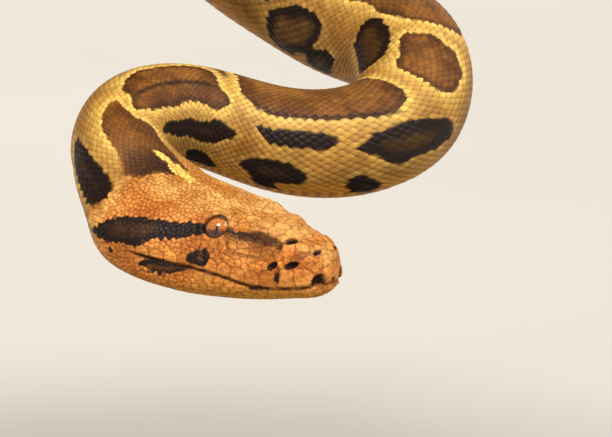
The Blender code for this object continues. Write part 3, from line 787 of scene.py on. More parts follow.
class Markings:
    """The shares of each marking's colour at places on the skin."""

    def __init__(self):
        saddles, blotches = ruled_pattern()
        self.saddles = [*FIRST_SADDLES, *saddles]
        self.blotches = [*LEFT_BLOTCHES, *RIGHT_BLOTCHES, *blotches]

    def at(self, distance, direction, edge_noise):
        """Saddle, dark, cream and belly shares, and the part of it all that is the head's."""
        along = distance / MM
        around = np.degrees(nearest_turn(direction))
        wave = np.sin(along / 3.1 + 2 * np.sin(around / 9)) + np.sin(around / 4.3 + along / 7.7)
        ragged = 0.35 * wave + edge_noise
        depths = [deepest(outlines, along, around) + ragged
                  for outlines in (self.saddles, self.blotches, (NAPE,))]
        lines = smoothstep(deepest(SADDLE_LINES, along, around) + 0.5 * ragged, *LINE_EDGE)
        streak = smoothstep(inside_by(NAPE_STREAK, along, around) + 0.5 * ragged, *STREAK_EDGE)
        saddle, dark, cream = self.body_shares(along, depths, lines, streak)
        belly = smoothstep(np.abs(around), *BELLY_SIDE) * smoothstep(along, *BELLY_START)
        head_brown, head_dark, head = head_marks_at(along, np.abs(around), ragged)
        return np.stack([np.maximum(saddle, head_brown), np.maximum(dark, head_dark), cream, belly], 1), head

    @staticmethod
    def body_shares(along, depths, lines, streak):
        """The body's saddle, dark and cream shares, from the depths inside its markings."""
        saddle_depth, blotch_depth, nape_depth = depths
        marked_depth = np.maximum(saddle_depth, nape_depth)
        saddle = smoothstep(marked_depth, *SADDLE_EDGE)
        rim = smoothstep(saddle_depth, *SADDLE_RIM_OUTER) * fade(saddle_depth, *SADDLE_RIM_INNER)
        blotch = smoothstep(blotch_depth, *BLOTCH_EDGE)
        far = smoothstep(along, *PALE_HEARTS)
        heart = smoothstep(blotch_depth, *BLOTCH_HEART)
        dark = np.maximum.reduce([0.55 * rim, 0.8 * lines, blotch * (1 - (0.12 + 0.4 * far) * heart)])
        dark = np.maximum(dark, 0.75 * fade(along, *DARK_NAPE_END) * smoothstep(nape_depth, *NAPE_DARK))
        near = np.exp(-np.maximum(-marked_depth, 0) / SADDLE_GLOW)
        cream = (1 - saddle) * near * smoothstep(along, *CREAM_START)
        glow = 0.35 * (1 - blotch) * np.exp(-np.maximum(-blotch_depth, 0) / BLOTCH_GLOW)
        cream = np.maximum(np.maximum(cream, glow) * smoothstep(along, *NAPE_CREAM_START), streak)
        saddle *= 1 - 0.22 * (1 - far) * smoothstep(saddle_depth, *SADDLE_PALE)
        return saddle * (1 - streak), dark * (1 - streak), cream


# ---------------------------------------------------------------- the form of the skin

COAT_DEPTH = 0.0004  # how far the skin lies inside the true outline
BAKE_PATCH = 0.003  # how large one scale is on the map for baking
SNOUT_RINGS_END = 0.012  # the snout's rings, close together, end here
CARVED_END = 0.118
CARVING_FADE = 0.012  # over how much before that the carving dies away
FORE_END = 0.55  # the stretch that is seen from near ends here

# Swellings and hollows of the head, on both sides: distance behind the snout, direction, half length,
# half width, tilt of the length from the head's own, height; millimetres and degrees
SWELLINGS = (
    (31, 45, 15, 3.6, 0, 0.60),  # the ridge from the eye to the nostril
    (28, 72, 12, 6.5, 0, -1.25),  # the hollow before the eye
    (29, 28, 9, 6.0, 0, 0.70),  # the brow
    (30, 37, 5.5, 4.2, 0, 1.00),  # its front end
    (13.5, 50, 7.0, 5.5, 0, 0.55),  # round the nostril
    (47, 36, 9, 4.0, 0, 0.55),  # the shelf above the eye
    (52, 83, 10, 3.2, 12, -0.35),  # below the eye
    (22, 12, 9, 4.0, 0, 0.30),  # the snout's top
    (17, 0, 9, 1.6, 0, -0.35),  # the furrow along the snout
    (70, 58, 20, 6.0, 0, 0.45),  # the jaw muscle's upper edge
    (84, 112, 9, 5.0, 30, -0.50),  # behind the corner of the mouth
    (12.0, 104, 5.0, 2.8, 8, 0.75),  # the full lip under the first pit
    (25.0, 98, 6.0, 3.0, 0, 0.45),
)
FOLDS = (  # narrow creases, given in the same way, that get painted shade too
    (17.4, 104, 4.6, 1.6, 85, -1.15),  # the furrow down from the second pit
    (10.3, 65, 5.8, 1.2, 41, -1.05),  # from the first pit up to the rostral plate
    (18.7, 62, 3.6, 1.4, 95, -0.95),  # behind the nose
    (31.0, 85, 12, 1.2, 2, -0.80),  # over the lip's plates
    (40.0, 74, 5.0, 1.0, -52, -0.60),  # down from the eye
    (33.5, 58, 11, 1.0, 4, -0.50),  # under the brow
    (10.0, 16, 6.5, 1.0, 12, -0.40),  # along the snout's top
    (29.0, 71, 6.0, 0.8, 20, -0.35),
    (50.5, 88, 4.0, 0.8, 75, -0.40),  # behind the marks under the eye
)
FOLD_SHADE = 0.5  # how much painted shade a fold gets, as a share of that inside a slit
SLITS = (  # given in the same way
    (16.0, 41, 2.6, 1.8, 36, -2.4),  # nostril
    (12.4, 85, 3.4, 1.3, 28, -2.0),  # heat pits in the upper lip
    (19.6, 91, 2.5, 1.3, 37, -1.7),
    (5.7, 38, 1.9, 0.9, 66, -1.3),  # pits beside the rostral plate
    (4.2, 125, 3.2, 2.4, 15, -2.2),  # the gap where the tongue comes out
)
SLIT_RIM = 0.13  # of a slit's depth, how high its rim stands
SLIT_RIM_PLACE, SLIT_RIM_WIDTH = 1.35, 0.3  # from the slit's middle, as multiples of its own size
LIP_GAP = 0.0003  # from the mouth's line to the plates
LIP_FULLNESS = 0.00040
UPPER_LIP_RISE, UPPER_LIP_FALL = (0, 0.0015), (0.003, 0.009)  # from the mouth's line up
LOWER_LIP_RISE, LOWER_LIP_FALL = (0, 0.0004), (0.002, 0.006)  # and down
MOUTH_GROOVE = 0.0016
MOUTH_GROOVE_HALF = 0.0006
MOUTH_CORNER_FADE = 0.006
EYE_RING = 0.0048  # how much of the eye shows, from its middle
SOCKET_DEPTH, SOCKET_EDGE = 0.0030, (-0.0007, 0.0002)  # the edge as seen from the ring
SOCKET_RIM, SOCKET_RIM_PLACE, SOCKET_RIM_WIDTH = 0.0005, 0.0012, 0.0009


def snout_distances(step):
    """Distances along the head, close together at the blunt end of the snout."""
    widest = math.sqrt((SNOUT_RINGS_END - SNOUT_TIP) / MM)
    spread = np.linspace(0.12, widest, int(widest * 4 * MM / step) + 6)
    front = SNOUT_TIP + MM * spread ** 2
    return np.concatenate([front, np.arange(SNOUT_RINGS_END + step, CARVED_END, step)])


class SkinNet:
    """The skin as rings of points: the true surface, the ways out of it, and how it is carved."""

    def __init__(self, skin, distances, columns):
        self.skin = skin
        self.distances = distances
        self.directions = np.linspace(-math.pi, math.pi, columns, endpoint=False)
        self.along, self.around = np.meshgrid(distances, self.directions, indexing="ij")
        self.base = skin.point(self.along, self.around)
        self.above = self.from_mouth()
        self.upper = smoothstep(self.above, -0.0004, 0.0)  # 1 above the mouth and 0 below it
        self.mouth = fade(self.along, MOUTH_CORNER - MOUTH_CORNER_FADE, MOUTH_CORNER)
        self.groove = np.exp(-(self.above / MOUTH_GROOVE_HALF) ** 2)
        wrapped = np.concatenate([self.base[:, -1:], self.base, self.base[:, :1]], axis=1)
        across = wrapped[:, 2:] - wrapped[:, :-2]
        self.out = unit(np.cross(np.gradient(self.base, axis=0), across))
        self.carved = self.base + self.out * (self.carving() - COAT_DEPTH)[..., None]

    def from_mouth(self):
        """How far up the skin each point is from the line between the lips, in metres."""
        out, high = self.skin.section(self.along, self.around)
        half = len(self.directions) // 2
        above = np.zeros(self.along.shape)
        for side in (slice(half, None), slice(half, 0, -1)):
            steps = np.hypot(np.diff(out[:, side], axis=1), np.diff(high[:, side], axis=1))
            for i, level in enumerate(MM * mouth_height(self.distances / MM)):
                arc = running(steps[i])
                above[i, side] = np.interp(-level, -high[i, side], arc) - arc
        above[:, 0] = above[:, 1]
        return above

    def carving(self):
        """How far the skin stands above its plain form at each point, in metres."""
        rise = np.zeros(self.along.shape)
        for oval, height in both_sides(self.skin, SWELLINGS + FOLDS):
            rise += height * MM * np.maximum(1 - oval.reach(self.base), 0) ** 2
        for oval, height in both_sides(self.skin, SLITS):
            reach = oval.reach(self.base)
            rise += self.upper * height * MM * np.maximum(1 - reach, 0) ** 0.8
            rim = np.exp(-((np.sqrt(reach) - SLIT_RIM_PLACE) / SLIT_RIM_WIDTH) ** 2)
            rise -= SLIT_RIM * height * MM * rim
        rows = self.distances < CARVED_END
        rise[rows] += self.lips()[rows]
        rise += self.eye_sockets()
        return rise * fade(self.along, CARVED_END - CARVING_FADE, CARVED_END)

    def lips(self):
        """The groove between the lips, the full upper lip, and the lower one set in under it."""
        above = self.above
        groove = -MOUTH_GROOVE * self.groove
        upper = LIP_FULLNESS * smoothstep(above, *UPPER_LIP_RISE) * fade(above, *UPPER_LIP_FALL)
        lower = -LIP_FULLNESS * smoothstep(-above, *LOWER_LIP_RISE) * fade(-above, *LOWER_LIP_FALL)
        return self.mouth * (groove + upper + lower)

    def eye_sockets(self):
        """The skin falls away inside the part of the eye that shows, and is raised round it."""
        rise = np.zeros(self.along.shape)
        inner, outer = SOCKET_EDGE
        for side in (-1, 1):
            u, v, depth = seen_from(skin_spot(self.skin, EYE_BEHIND, side * EYE_DIRECTION), self.base)
            apart = np.where(np.abs(depth) < SAME_SIDE, np.hypot(u, v), 1.0)
            rise -= SOCKET_DEPTH * fade(apart, EYE_RING + inner, EYE_RING + outer)
            rise += SOCKET_RIM * np.exp(-((apart - EYE_RING - SOCKET_RIM_PLACE) / SOCKET_RIM_WIDTH) ** 2)
        return rise

    def painted_shade_share(self):
        """How much each point gets of the painted shade over dark red flesh inside the mouth's line and the
        slits, and of painted shade in the folds.
        """
        share = self.mouth * self.groove
        for oval, _ in both_sides(self.skin, FOLDS):
            share = np.maximum(share, FOLD_SHADE * np.maximum(1 - oval.reach(self.base), 0))
        for oval, _ in both_sides(self.skin, SLITS):
            share = np.maximum(share, self.upper * fade(oval.reach(self.base), 0.75, 1.2))
        return share


class Form:
    """The carved head as a fine net, on which the plates are laid."""

    RING_STEP = 0.00034
    COLUMNS = 400
    DROP_FROM, DROP_LENGTH = 0.006, 0.014  # how high over the skin points fall from, and how far

    def __init__(self, skin):
        self.net = SkinNet(skin, snout_distances(self.RING_STEP), self.COLUMNS)
        # how much painted shade each point of the net gets
        self.inner = self.net.painted_shade_share()
        faces = ring_quads(len(self.net.distances), self.COLUMNS).tolist() + [tuple(range(self.COLUMNS))]
        self.tree = BVHTree.FromPolygons(self.net.carved.reshape(-1, 3).tolist(), faces)

    def land(self, points, ways):
        """Where points land when they fall against their ways, and on which face."""
        landed, found = np.array(points, float), np.zeros(len(points), int)
        for k, (point, way) in enumerate(zip(points.tolist(), ways.tolist())):
            way = Vector(way)
            hit, _, face, _ = self.tree.ray_cast(Vector(point) + self.DROP_FROM * way, -way, self.DROP_LENGTH)
            if hit is None:
                hit, _, face, _ = self.tree.find_nearest(Vector(point))
            landed[k], found[k] = hit, face
        return landed, found

    def drop(self, points, ways):
        """Where points land on the carved head, with the way out of the skin, the distance behind
        the snout, the direction and the share of painted shade there."""
        net = self.net
        landed, found = self.land(points, ways)
        ring, column = found // self.COLUMNS, found % self.COLUMNS
        on_front = ring >= len(net.distances) - 1
        ring = np.where(on_front, 0, ring)
        origin = net.carved[ring, column]
        sides = (net.carved[ring + 1, column] - origin,
                 net.carved[ring, (column + 1) % self.COLUMNS] - origin)
        down, round_it = (np.clip(np.sum((landed - origin) * side, 1) / np.sum(side * side, 1), 0, 1)
                          for side in sides)
        distance = net.distances[ring] + down * np.diff(net.distances)[ring]
        direction = net.directions[column] + round_it * (2 * math.pi / self.COLUMNS)
        out = unit((1 - down)[:, None] * net.out[ring, column] + down[:, None] * net.out[ring + 1, column])
        out[on_front] = -net.skin.course.tailward[0]
        inner = np.where(on_front, 0.0, self.inner[ring + (down > 0.5), column])
        return landed, out, np.where(on_front, SNOUT_TIP, distance), direction, inner


SKIN_COLUMNS = 152
SKIN_END = LENGTH - 0.0005
SNOUT_STEP, NEAR_STEP, FAR_RINGS = 0.00062, 0.0028, 262  # spacing of the skin's rings, then their number
UNWRAP_STRIPS = 4  # the skin's long unwrap is laid out in this many strips
UNWRAP_MARGIN = 0.02
FLESH = ("head_", "lower_jaw", "neck", "trunk_", "tail_")  # how the names of the snake's solids start


def strip_map(distance, direction, faces_distance):
    """Places on the skin's unwrap, cut across into strips that lie one above the other."""
    inside = 1 - 2 * UNWRAP_MARGIN
    strip_length = LENGTH / UNWRAP_STRIPS
    strip = np.minimum(faces_distance // strip_length, UNWRAP_STRIPS - 1)
    u = (distance - strip * strip_length) / strip_length
    v = (strip + UNWRAP_MARGIN + inside * share_round(direction)) / UNWRAP_STRIPS
    return np.stack([np.clip(UNWRAP_MARGIN + inside * u, 0, 1), v], -1)


def unwrapped(distance, direction, quads, ends):
    """The map for baking of the skin's quads and of the faces across its ends."""
    turned = direction[quads]
    turned = np.where(turned < turned[:, :1] - math.pi, turned + 2 * math.pi, turned)
    sides = strip_map(distance[quads], turned, distance[quads[:, :1]]).reshape(-1, 2)
    return np.concatenate([sides, strip_map(distance[ends], direction[ends], distance[ends])])


def build_skin(skin, markings, material):
    """The one skin under the scales, from the snout to the tip of the tail."""
    near = np.arange(CARVED_END, FORE_END, NEAR_STEP)
    far = np.linspace(FORE_END, SKIN_END, FAR_RINGS)
    net = SkinNet(skin, np.concatenate([snout_distances(SNOUT_STEP), near, far]), SKIN_COLUMNS)
    corners, starts = net_faces(len(net.distances), SKIN_COLUMNS)
    distance, direction = net.along.ravel(), net.around.ravel()
    marks, head = markings.at(distance, direction, 0.0)
    # the last channel is the painted shade in the mouth's line, the folds and the slits
    tone = np.stack([head, np.full(len(head), 0.5), np.ones(len(head)), net.painted_shade_share().ravel()], 1)
    quads, ends = corners[:-2 * SKIN_COLUMNS].reshape(-1, 4), corners[-2 * SKIN_COLUMNS:]
    bake = unwrapped(distance, direction, quads, ends)
    piece = make_piece("skin", net.carved.reshape(-1, 3), corners, starts, material,
                       marks, tone, bake)
    flesh = [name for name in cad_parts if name.startswith(FLESH)]
    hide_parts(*flesh)


# ---------------------------------------------------------------- the plates and small scales of the head

UPPER_LIP_ENDS = (5.6, 10.8, 17.6, 24, 30, 36, 41.5, 47, 52.5, 58, 64, 70, 76, 81)  # mm behind the snout
UPPER_LIP_HEIGHTS = (7.6, 8.2, 7.2, 6.0, 5.6, 5.5, 5.3, 5.0, 4.8, 4.6, 4.4, 4.2, 4.0)
LOWER_LIP_START = 5.0
LOWER_LIP_PLATES = 18
LOWER_LIP_HEIGHT = 4.2
FRONT_PLATES = (  # mm behind the snout, height and radius; lip, 1 the upper; where the mouth's line is read
    (2.2, -3.6, 3.7, 1, 0.0),  # rostral
    (4.4, -10.2, 2.3, -1, 4.0),  # mental
)
CROWN_PLATES = (  # distance behind the snout, direction, radius; on both sides
    (6.0, 20, 2.3), (10.4, 51, 2.9), (11.4, 17, 2.9), (14.8, 61, 2.9), (15.2, 24, 2.0), (18.4, 17, 3.5),
    (20.4, 42, 2.2), (25.4, 13, 3.2), (24.0, 34, 2.7), (24.0, 50, 1.9), (27.2, 52, 2.0), (30.2, 30, 2.9),
    (32.3, 11, 2.9), (31.6, 50, 2.1), (36.0, 49, 2.1), (36.6, 29, 2.6), (38.0, 10, 2.4), (41.5, 41, 2.1),
    (46.4, 39, 2.4), (51.2, 41, 2.1), (18.2, 72, 2.2), (22.4, 63, 1.9), (23.4, 74, 2.3), (27.4, 62, 1.7),
    (28.4, 70, 2.1), (27.6, 79, 2.0), (32.6, 63, 1.6), (33.6, 71, 2.2), (32.6, 80, 1.9), (37.6, 76, 1.9),
    (37.2, 66, 1.6), (37.6, 84, 1.5),
)
ROUND_EYE = 11  # plates round each eye
ROUND_EYE_START = 0.35  # where the first of them is, as a share of the step between two
ROUND_EYE_REACH = 6.5
ROUND_EYE_RADIUS = 1.75
SMALL_SCALES = ((2, 1.5), (22, 1.35), (40, 1.1), (52, 0.78), (75, 0.80), (98, 0.84))  # distance, radius
CHIN_SCALES = ((2, 1.3), (40, 1.5), (98, 1.35))
CHIN_SIDE = math.radians(118)
SMALL_SCALE_TRIES = 60000
SMALL_SCALES_END = 97.5
CLOSEST = 0.90  # how near two scales may start, as a share of their radii together
OPENING_ROOM = 1.6  # how far off an opening a small scale's middle stays, on the oval's own measure
EYE_ROOM = 0.0012  # and how far off the eye
SETTLE_ROUNDS, SETTLE_STEP = 12, 0.22  # how often scales push one another, and how far each time
SETTLE_APART = 1.14  # how far apart they go, as a share of their radii together
SETTLE_REACH = 2.3  # how far off neighbours are looked for, in radii of the largest
SHORTEST_ARM = 0.004  # keeps a scale near the middle line from turning too far

PLATE_NEIGHBOURS = 26
PLATE_LIMIT = 2.1  # of its radius, as far as a plate can reach
PLATE_GROOVE = 0.00006  # half the gap between two plates
PLATE_CORNER = 0.42  # of a side or of the radius, how much of a plate's corner is rounded
OPENING_GAP = 0.6  # of an opening's half width, how near its middle a plate comes
WALL_REACH, EYE_REACH = 0.012, 0.014  # openings, lips and eyes farther off leave a plate as it is
SMALLEST_PLATE = 0.0004
ACROSS_FINE = 0.00042  # how far apart the points of a plate are
COARSEST_RINGS = (1.0, 0.84, 0.42)  # of the smallest plates, as shares of the outline
PLATE_SHARPNESS = 7.0  # how flat a plate's top is, and how steep its rim
PLATE_SUNK = 0.05  # how deep the rim lies, mm
PLATE_LEAN = 0.05  # how much a plate rises to the rear, mm
SEAM_WIDTH = 0.00020


class Seeds:
    """The middles of the head's plates and scales, with how large each of them is.

    Each has its place, its ways out of the skin and tailward, its radius and its distance and
    direction. Its lip is 1 for the upper, -1 for the lower and 0 for neither, and its wall is a place
    on the mouth's line that it stops short of.
    """

    def __init__(self, form):
        self.net = form.net
        self.skin = form.net.skin
        self.places, self.outs, self.tailwards = [], [], []
        self.radii, self.lips, self.at, self.walls = [], [], [], []
        self.eyes = [self.skin.point(EYE_BEHIND, side * EYE_DIRECTION) for side in (-1, 1)]
        self.openings = [oval for oval, _ in both_sides(self.skin, SLITS)]
        self.add_front()
        self.add_lips()
        self.add_crown()
        self.add_round_eyes()
        self.fixed = len(self.places)
        self.add_small_scales(np.random.default_rng(5))
        self.settle()

    def add(self, distance, direction, radius, lip=0, wall=None):
        here, tailward, _, out = skin_spot(self.skin, distance, direction)
        self.put(here, out, tailward, radius, (distance, direction), lip, wall)

    def put(self, place, out, tailward, radius, at, lip, wall):
        rows = (self.places, self.outs, self.tailwards, self.radii, self.at, self.lips, self.walls)
        for row, value in zip(rows, (place, out, tailward, radius * MM, at, lip, wall)):
            row.append(value)

    def beside_mouth(self, distance, above, side):
        """The direction of a place so far up the skin from the mouth's line."""
        row = np.searchsorted(self.net.distances, distance)
        half = len(self.net.directions) // 2
        return side * float(np.interp(-above, -self.net.above[row, half:], self.net.directions[half:]))

    def add_front(self):
        course = self.skin.course
        forward, up = -course.tailward[0], course.up[0]
        for behind, height, radius, lip, mouth_at in FRONT_PLATES:
            place = course.place[0] - forward * behind * MM + up * height * MM
            out = forward if lip > 0 else unit(forward - 0.6 * up)
            wall = place + up * (mouth_height(mouth_at) - height) * MM
            tailward = unit(np.cross(course.right[0], out))
            self.put(place, out, tailward, radius, (SNOUT_TIP, math.pi), lip, wall)

    def add_lips(self):
        ends = np.linspace(LOWER_LIP_START, MOUTH_CORNER / MM + 1, LOWER_LIP_PLATES + 1)
        rows = [(*row, 1) for row in zip(UPPER_LIP_ENDS, UPPER_LIP_ENDS[1:], UPPER_LIP_HEIGHTS)]
        rows += [(start, end, LOWER_LIP_HEIGHT, -1) for start, end in zip(ends, ends[1:])]
        for start, end, height, lip in rows:
            distance = (start + end) / 2 * MM
            for side in (-1, 1):
                direction = self.beside_mouth(distance, lip * height / 2 * MM, side)
                wall = self.skin.point(distance, self.beside_mouth(distance, 0.0, side))
                self.add(distance, direction, height / 2, lip, wall if distance < MOUTH_CORNER else None)

    def add_crown(self):
        for behind, direction, radius in CROWN_PLATES:
            for side in (-1, 1):
                self.add(behind * MM, side * math.radians(direction), radius)

    def add_round_eyes(self):
        reach = float(np.hypot(*self.skin.section(np.array(EYE_BEHIND), np.array(EYE_DIRECTION))))
        for side in (-1, 1):
            for turn in (np.arange(ROUND_EYE) + ROUND_EYE_START) * 2 * math.pi / ROUND_EYE:
                distance = EYE_BEHIND + ROUND_EYE_REACH * MM * math.cos(turn)
                direction = EYE_DIRECTION + ROUND_EYE_REACH * MM * math.sin(turn) / reach
                self.add(distance, side * direction, ROUND_EYE_RADIUS)

    def is_free(self, distance, direction, place):
        """Whether a small scale's middle may lie here: not on a lip, an eye or off the head."""
        if not SNOUT_TIP < distance < SMALL_SCALES_END * MM:
            return False
        row = min(np.searchsorted(self.net.distances, distance), len(self.net.above) - 1)
        above = np.interp(direction, self.net.directions, self.net.above[row])
        upper = np.interp(distance / MM, UPPER_LIP_ENDS[:-1], UPPER_LIP_HEIGHTS) * MM
        if distance < MOUTH_CORNER and -LOWER_LIP_HEIGHT * MM < above < upper:
            return False
        if min(oval.reach(place) for oval in self.openings) < OPENING_ROOM:
            return False
        return min(np.linalg.norm(place - eye) for eye in self.eyes) > EYE_RING + EYE_ROOM

    def add_small_scales(self, rng):
        """Small scales wherever a random try finds room for one."""
        distances = rng.uniform(SNOUT_TIP, SMALL_SCALES_END * MM, SMALL_SCALE_TRIES)
        directions = rng.uniform(-math.pi, math.pi, SMALL_SCALE_TRIES)
        candidates = self.skin.point(distances, directions)
        radii = MM * np.where(np.abs(directions) > CHIN_SIDE, np.interp(distances / MM, *zip(*CHIN_SCALES)),
                              np.interp(distances / MM, *zip(*SMALL_SCALES)))
        count = len(self.places)
        taken = np.zeros((count + SMALL_SCALE_TRIES, 3))
        sizes = np.zeros(len(taken))
        taken[:count], sizes[:count] = np.array(self.places), np.array(self.radii)
        for place, radius, distance, direction in zip(candidates, radii, distances, directions):
            apart = np.linalg.norm(taken[:count] - place, axis=1) - CLOSEST * (sizes[:count] + radius)
            if apart.min() >= 0 and self.is_free(distance, direction, place):
                taken[count], sizes[count] = place, radius
                count += 1
                self.add(distance, direction, radius / MM)

    def settle(self):
        """Moves the small scales apart until they are evenly packed."""
        reach = SETTLE_REACH * max(self.radii[self.fixed:])
        for _ in range(SETTLE_ROUNDS):
            tree = KDTree(len(self.places))
            for k, place in enumerate(self.places):
                tree.insert(place, k)
            tree.balance()
            for k in range(self.fixed, len(self.places)):
                self.places[k], self.at[k] = self.pushed(k, tree, reach)

    def pushed(self, k, tree, reach):
        """Where a small scale's middle goes when its neighbours push it away."""
        here, (distance, direction) = self.places[k], self.at[k]
        found = [(place, j) for place, j, _ in tree.find_range(here, reach + self.radii[k]) if j != k]
        if not found:
            return here, self.at[k]
        steps = here - np.array([place for place, _ in found])
        apart = np.linalg.norm(steps, axis=1)
        wanted = SETTLE_APART * (self.radii[k] + np.array([self.radii[j] for _, j in found]))
        move = SETTLE_STEP * np.sum((np.maximum(wanted - apart, 0) / apart)[:, None] * steps, axis=0)
        out, tailward = self.outs[k], self.tailwards[k]
        arm = max(float(np.linalg.norm(here - self.skin.course.at(distance)[0])), SHORTEST_ARM)
        at = distance + float(move @ tailward), direction + float(move @ np.cross(out, tailward)) / arm
        place = self.skin.point(*at)
        return (place, at) if self.is_free(*at, place) else (here, self.at[k])


def clipped(polygon, normal, limit):
    """The part of a convex polygon where a place times the normal is at most the limit."""
    over = polygon @ normal - limit
    if (over <= 0).all():
        return polygon
    kept = []
    for here, after, a, b in zip(polygon, np.roll(polygon, -1, axis=0), over, np.roll(over, -1)):
        if a <= 0:
            kept.append(here)
        if a * b < 0:
            kept.append(here + (after - here) * a / (a - b))
    return np.array(kept).reshape(-1, 2)


def softened(polygon, radius, count):
    """A polygon with rounded corners, as so many points spaced evenly round it."""
    points = []
    for before, corner, after in zip(np.roll(polygon, 1, axis=0), polygon, np.roll(polygon, -1, axis=0)):
        sides = []
        for side in (before - corner, after - corner):
            side *= min(PLATE_CORNER, PLATE_CORNER * radius / max(np.linalg.norm(side), 1e-9))
            sides.append(side)
        for share in (0.0, 0.33, 0.67, 1.0):
            points.append(corner + (1 - share) ** 2 * sides[0] + share ** 2 * sides[1])
    points = np.array(points)
    along = running(np.linalg.norm(np.roll(points, -1, axis=0) - points, axis=1))
    closed = np.vstack([points, points[:1]])
    at = np.linspace(0, along[-1], count, endpoint=False)
    return np.stack([np.interp(at, along, column) for column in closed.T], 1)


class Plate:
    """One plate's outline in the plane that touches the head at its middle."""

    def __init__(self, seeds, k, places, radii, order):
        self.k = k
        self.place, self.out, self.tailward = places[k], seeds.outs[k], seeds.tailwards[k]
        self.right = np.cross(self.out, self.tailward)
        self.radius = radii[k]
        self.axes = np.stack([self.tailward, self.right], 1)
        openings = [oval for oval in seeds.openings if seeds.lips[k] >= 0 and oval.reach(self.place) > 1]
        polygon = self.cut_by_neighbours(seeds, places, radii, order)
        polygon = self.cut_by_walls(polygon, openings, seeds.walls[k])
        self.sound = len(polygon) >= 3
        if self.sound:
            around = np.sum(np.linalg.norm(np.roll(polygon, -1, axis=0) - polygon, axis=1))
            self.count = int(np.clip(round(around / ACROSS_FINE), 10, 72))
            self.outline = softened(polygon, self.radius, self.count)
            self.keep_off_eyes(seeds.eyes)
            self.keep_off_openings(openings)
            self.middle = self.outline.mean(axis=0)
            self.size = math.sqrt(abs(self.area()) / math.pi)
            self.sound = self.size > SMALLEST_PLATE

    def flat(self, place):
        """Where a place is in the plate's plane, and how far that is from the middle."""
        flat = (place - self.place) @ self.axes
        return flat, np.linalg.norm(flat)

    def cut_by_neighbours(self, seeds, places, radii, order):
        """A large disc, cut off where each neighbour on the same lip begins."""
        turns = full_turn(16)
        polygon = PLATE_LIMIT * self.radius * np.stack([np.cos(turns), np.sin(turns)], 1)
        for j in order:
            step = places[j] - self.place
            flat, length = self.flat(places[j])
            true_length = np.linalg.norm(step)
            across_mouth = seeds.lips[j] * seeds.lips[self.k] < 0
            if across_mouth or length < 1e-6 or step @ self.out < -0.8 * true_length:
                continue
            limit = (true_length ** 2 + self.radius ** 2 - radii[j] ** 2) / (2 * true_length)
            polygon = clipped(polygon, flat / length, limit * length / true_length - PLATE_GROOVE)
        return polygon

    def cut_by_walls(self, polygon, openings, mouth):
        """The polygon without what would lie over an opening or the mouth."""
        walls = [(oval.spot[0], OPENING_GAP * oval.half_width) for oval in openings]
        if mouth is not None:
            walls.append((mouth, LIP_GAP))
        for wall, gap in walls:
            flat, length = self.flat(wall)
            if np.linalg.norm(wall - self.place) < WALL_REACH:
                polygon = clipped(polygon, flat / length, length - gap)
        return polygon

    def keep_off_eyes(self, eyes):
        for eye in eyes:
            if np.linalg.norm(eye - self.place) < EYE_REACH:
                step = self.outline - self.flat(eye)[0]
                apart = np.linalg.norm(step, axis=1, keepdims=True)
                self.outline += step / apart * np.maximum(EYE_RING - apart, 0)

    def keep_off_openings(self, openings):
        for oval in openings:
            reach = oval.reach(self.place + self.outline @ self.axes.T)
            middle, _ = self.flat(oval.spot[0])
            pushed = middle + (self.outline - middle) / np.sqrt(np.maximum(reach, 0.05))[:, None]
            self.outline = np.where(reach[:, None] < 1, pushed, self.outline)

    def area(self):
        x, y = self.outline.T
        return 0.5 * np.sum(x * np.roll(y, -1) - y * np.roll(x, -1))

    def rings(self):
        """How large each ring of points is, from the rim inward, as shares of the outline."""
        inward = int(round(self.size / ACROSS_FINE / 1.15))
        if inward < 3:
            return np.array(COARSEST_RINGS)
        return np.concatenate([[1.0, 0.955], np.linspace(0.88, 0.12, inward)])

    def points(self):
        """The plate's points, ring by ring, with how high each is and its share of the outline."""
        shares = self.rings()
        flat = self.middle + (self.outline - self.middle) * shares[:, None, None]
        flat = np.concatenate([flat.reshape(-1, 2), self.middle[None]])
        heights = np.concatenate([np.repeat(self.height(shares), self.count), [self.height(0.0)]])
        shares = np.concatenate([np.repeat(shares, self.count), [0.0]])
        lean = PLATE_LEAN * MM * (flat[:, 0] - self.middle[0]) / self.size
        places = self.place + flat[:, :1] * self.tailward + flat[:, 1:] * self.right
        return places, heights + lean * (shares < 1), shares

    def height(self, share):
        """How high the plate stands over the skin, with its rim sunk in."""
        rise = (0.10 + 0.055 * min(self.size / MM, 3.0)) * MM
        return rise * (1 - np.power(share, PLATE_SHARPNESS)) - PLATE_SUNK * MM

    def faces(self, first):
        """Quads between the rings, a fan in the middle and one face underneath."""
        rings, count = len(self.rings()), self.count
        rim, last = np.arange(count), (rings - 1) * count
        fan = np.stack([last + rim, last + (rim + 1) % count, np.full(count, rings * count)], -1)
        return [*(first + ring_quads(rings, count)), *(first + fan), first + rim[::-1]]


def build_plates(form, markings, material):
    """The head's plates and small scales, laid side by side over the carved skin."""
    seeds = Seeds(form)
    places, radii = np.array(seeds.places), np.array(seeds.radii)
    groups = {"head_plates": [], "head_scales_left": [], "head_scales_right": []}
    for k in range(len(places)):
        apart = np.linalg.norm(places - places[k], axis=1) - radii
        order = [j for j in np.argsort(apart)[:PLATE_NEIGHBOURS] if j != k]
        plate = Plate(seeds, k, places, radii, order)
        side = "head_scales_left" if seeds.at[k][1] < 0 else "head_scales_right"
        if plate.sound:
            groups["head_plates" if k < seeds.fixed else side].append(plate)
    rng = np.random.default_rng(3)
    for name, plates in groups.items():
        lay_plates(name, plates, form, markings, material, rng)


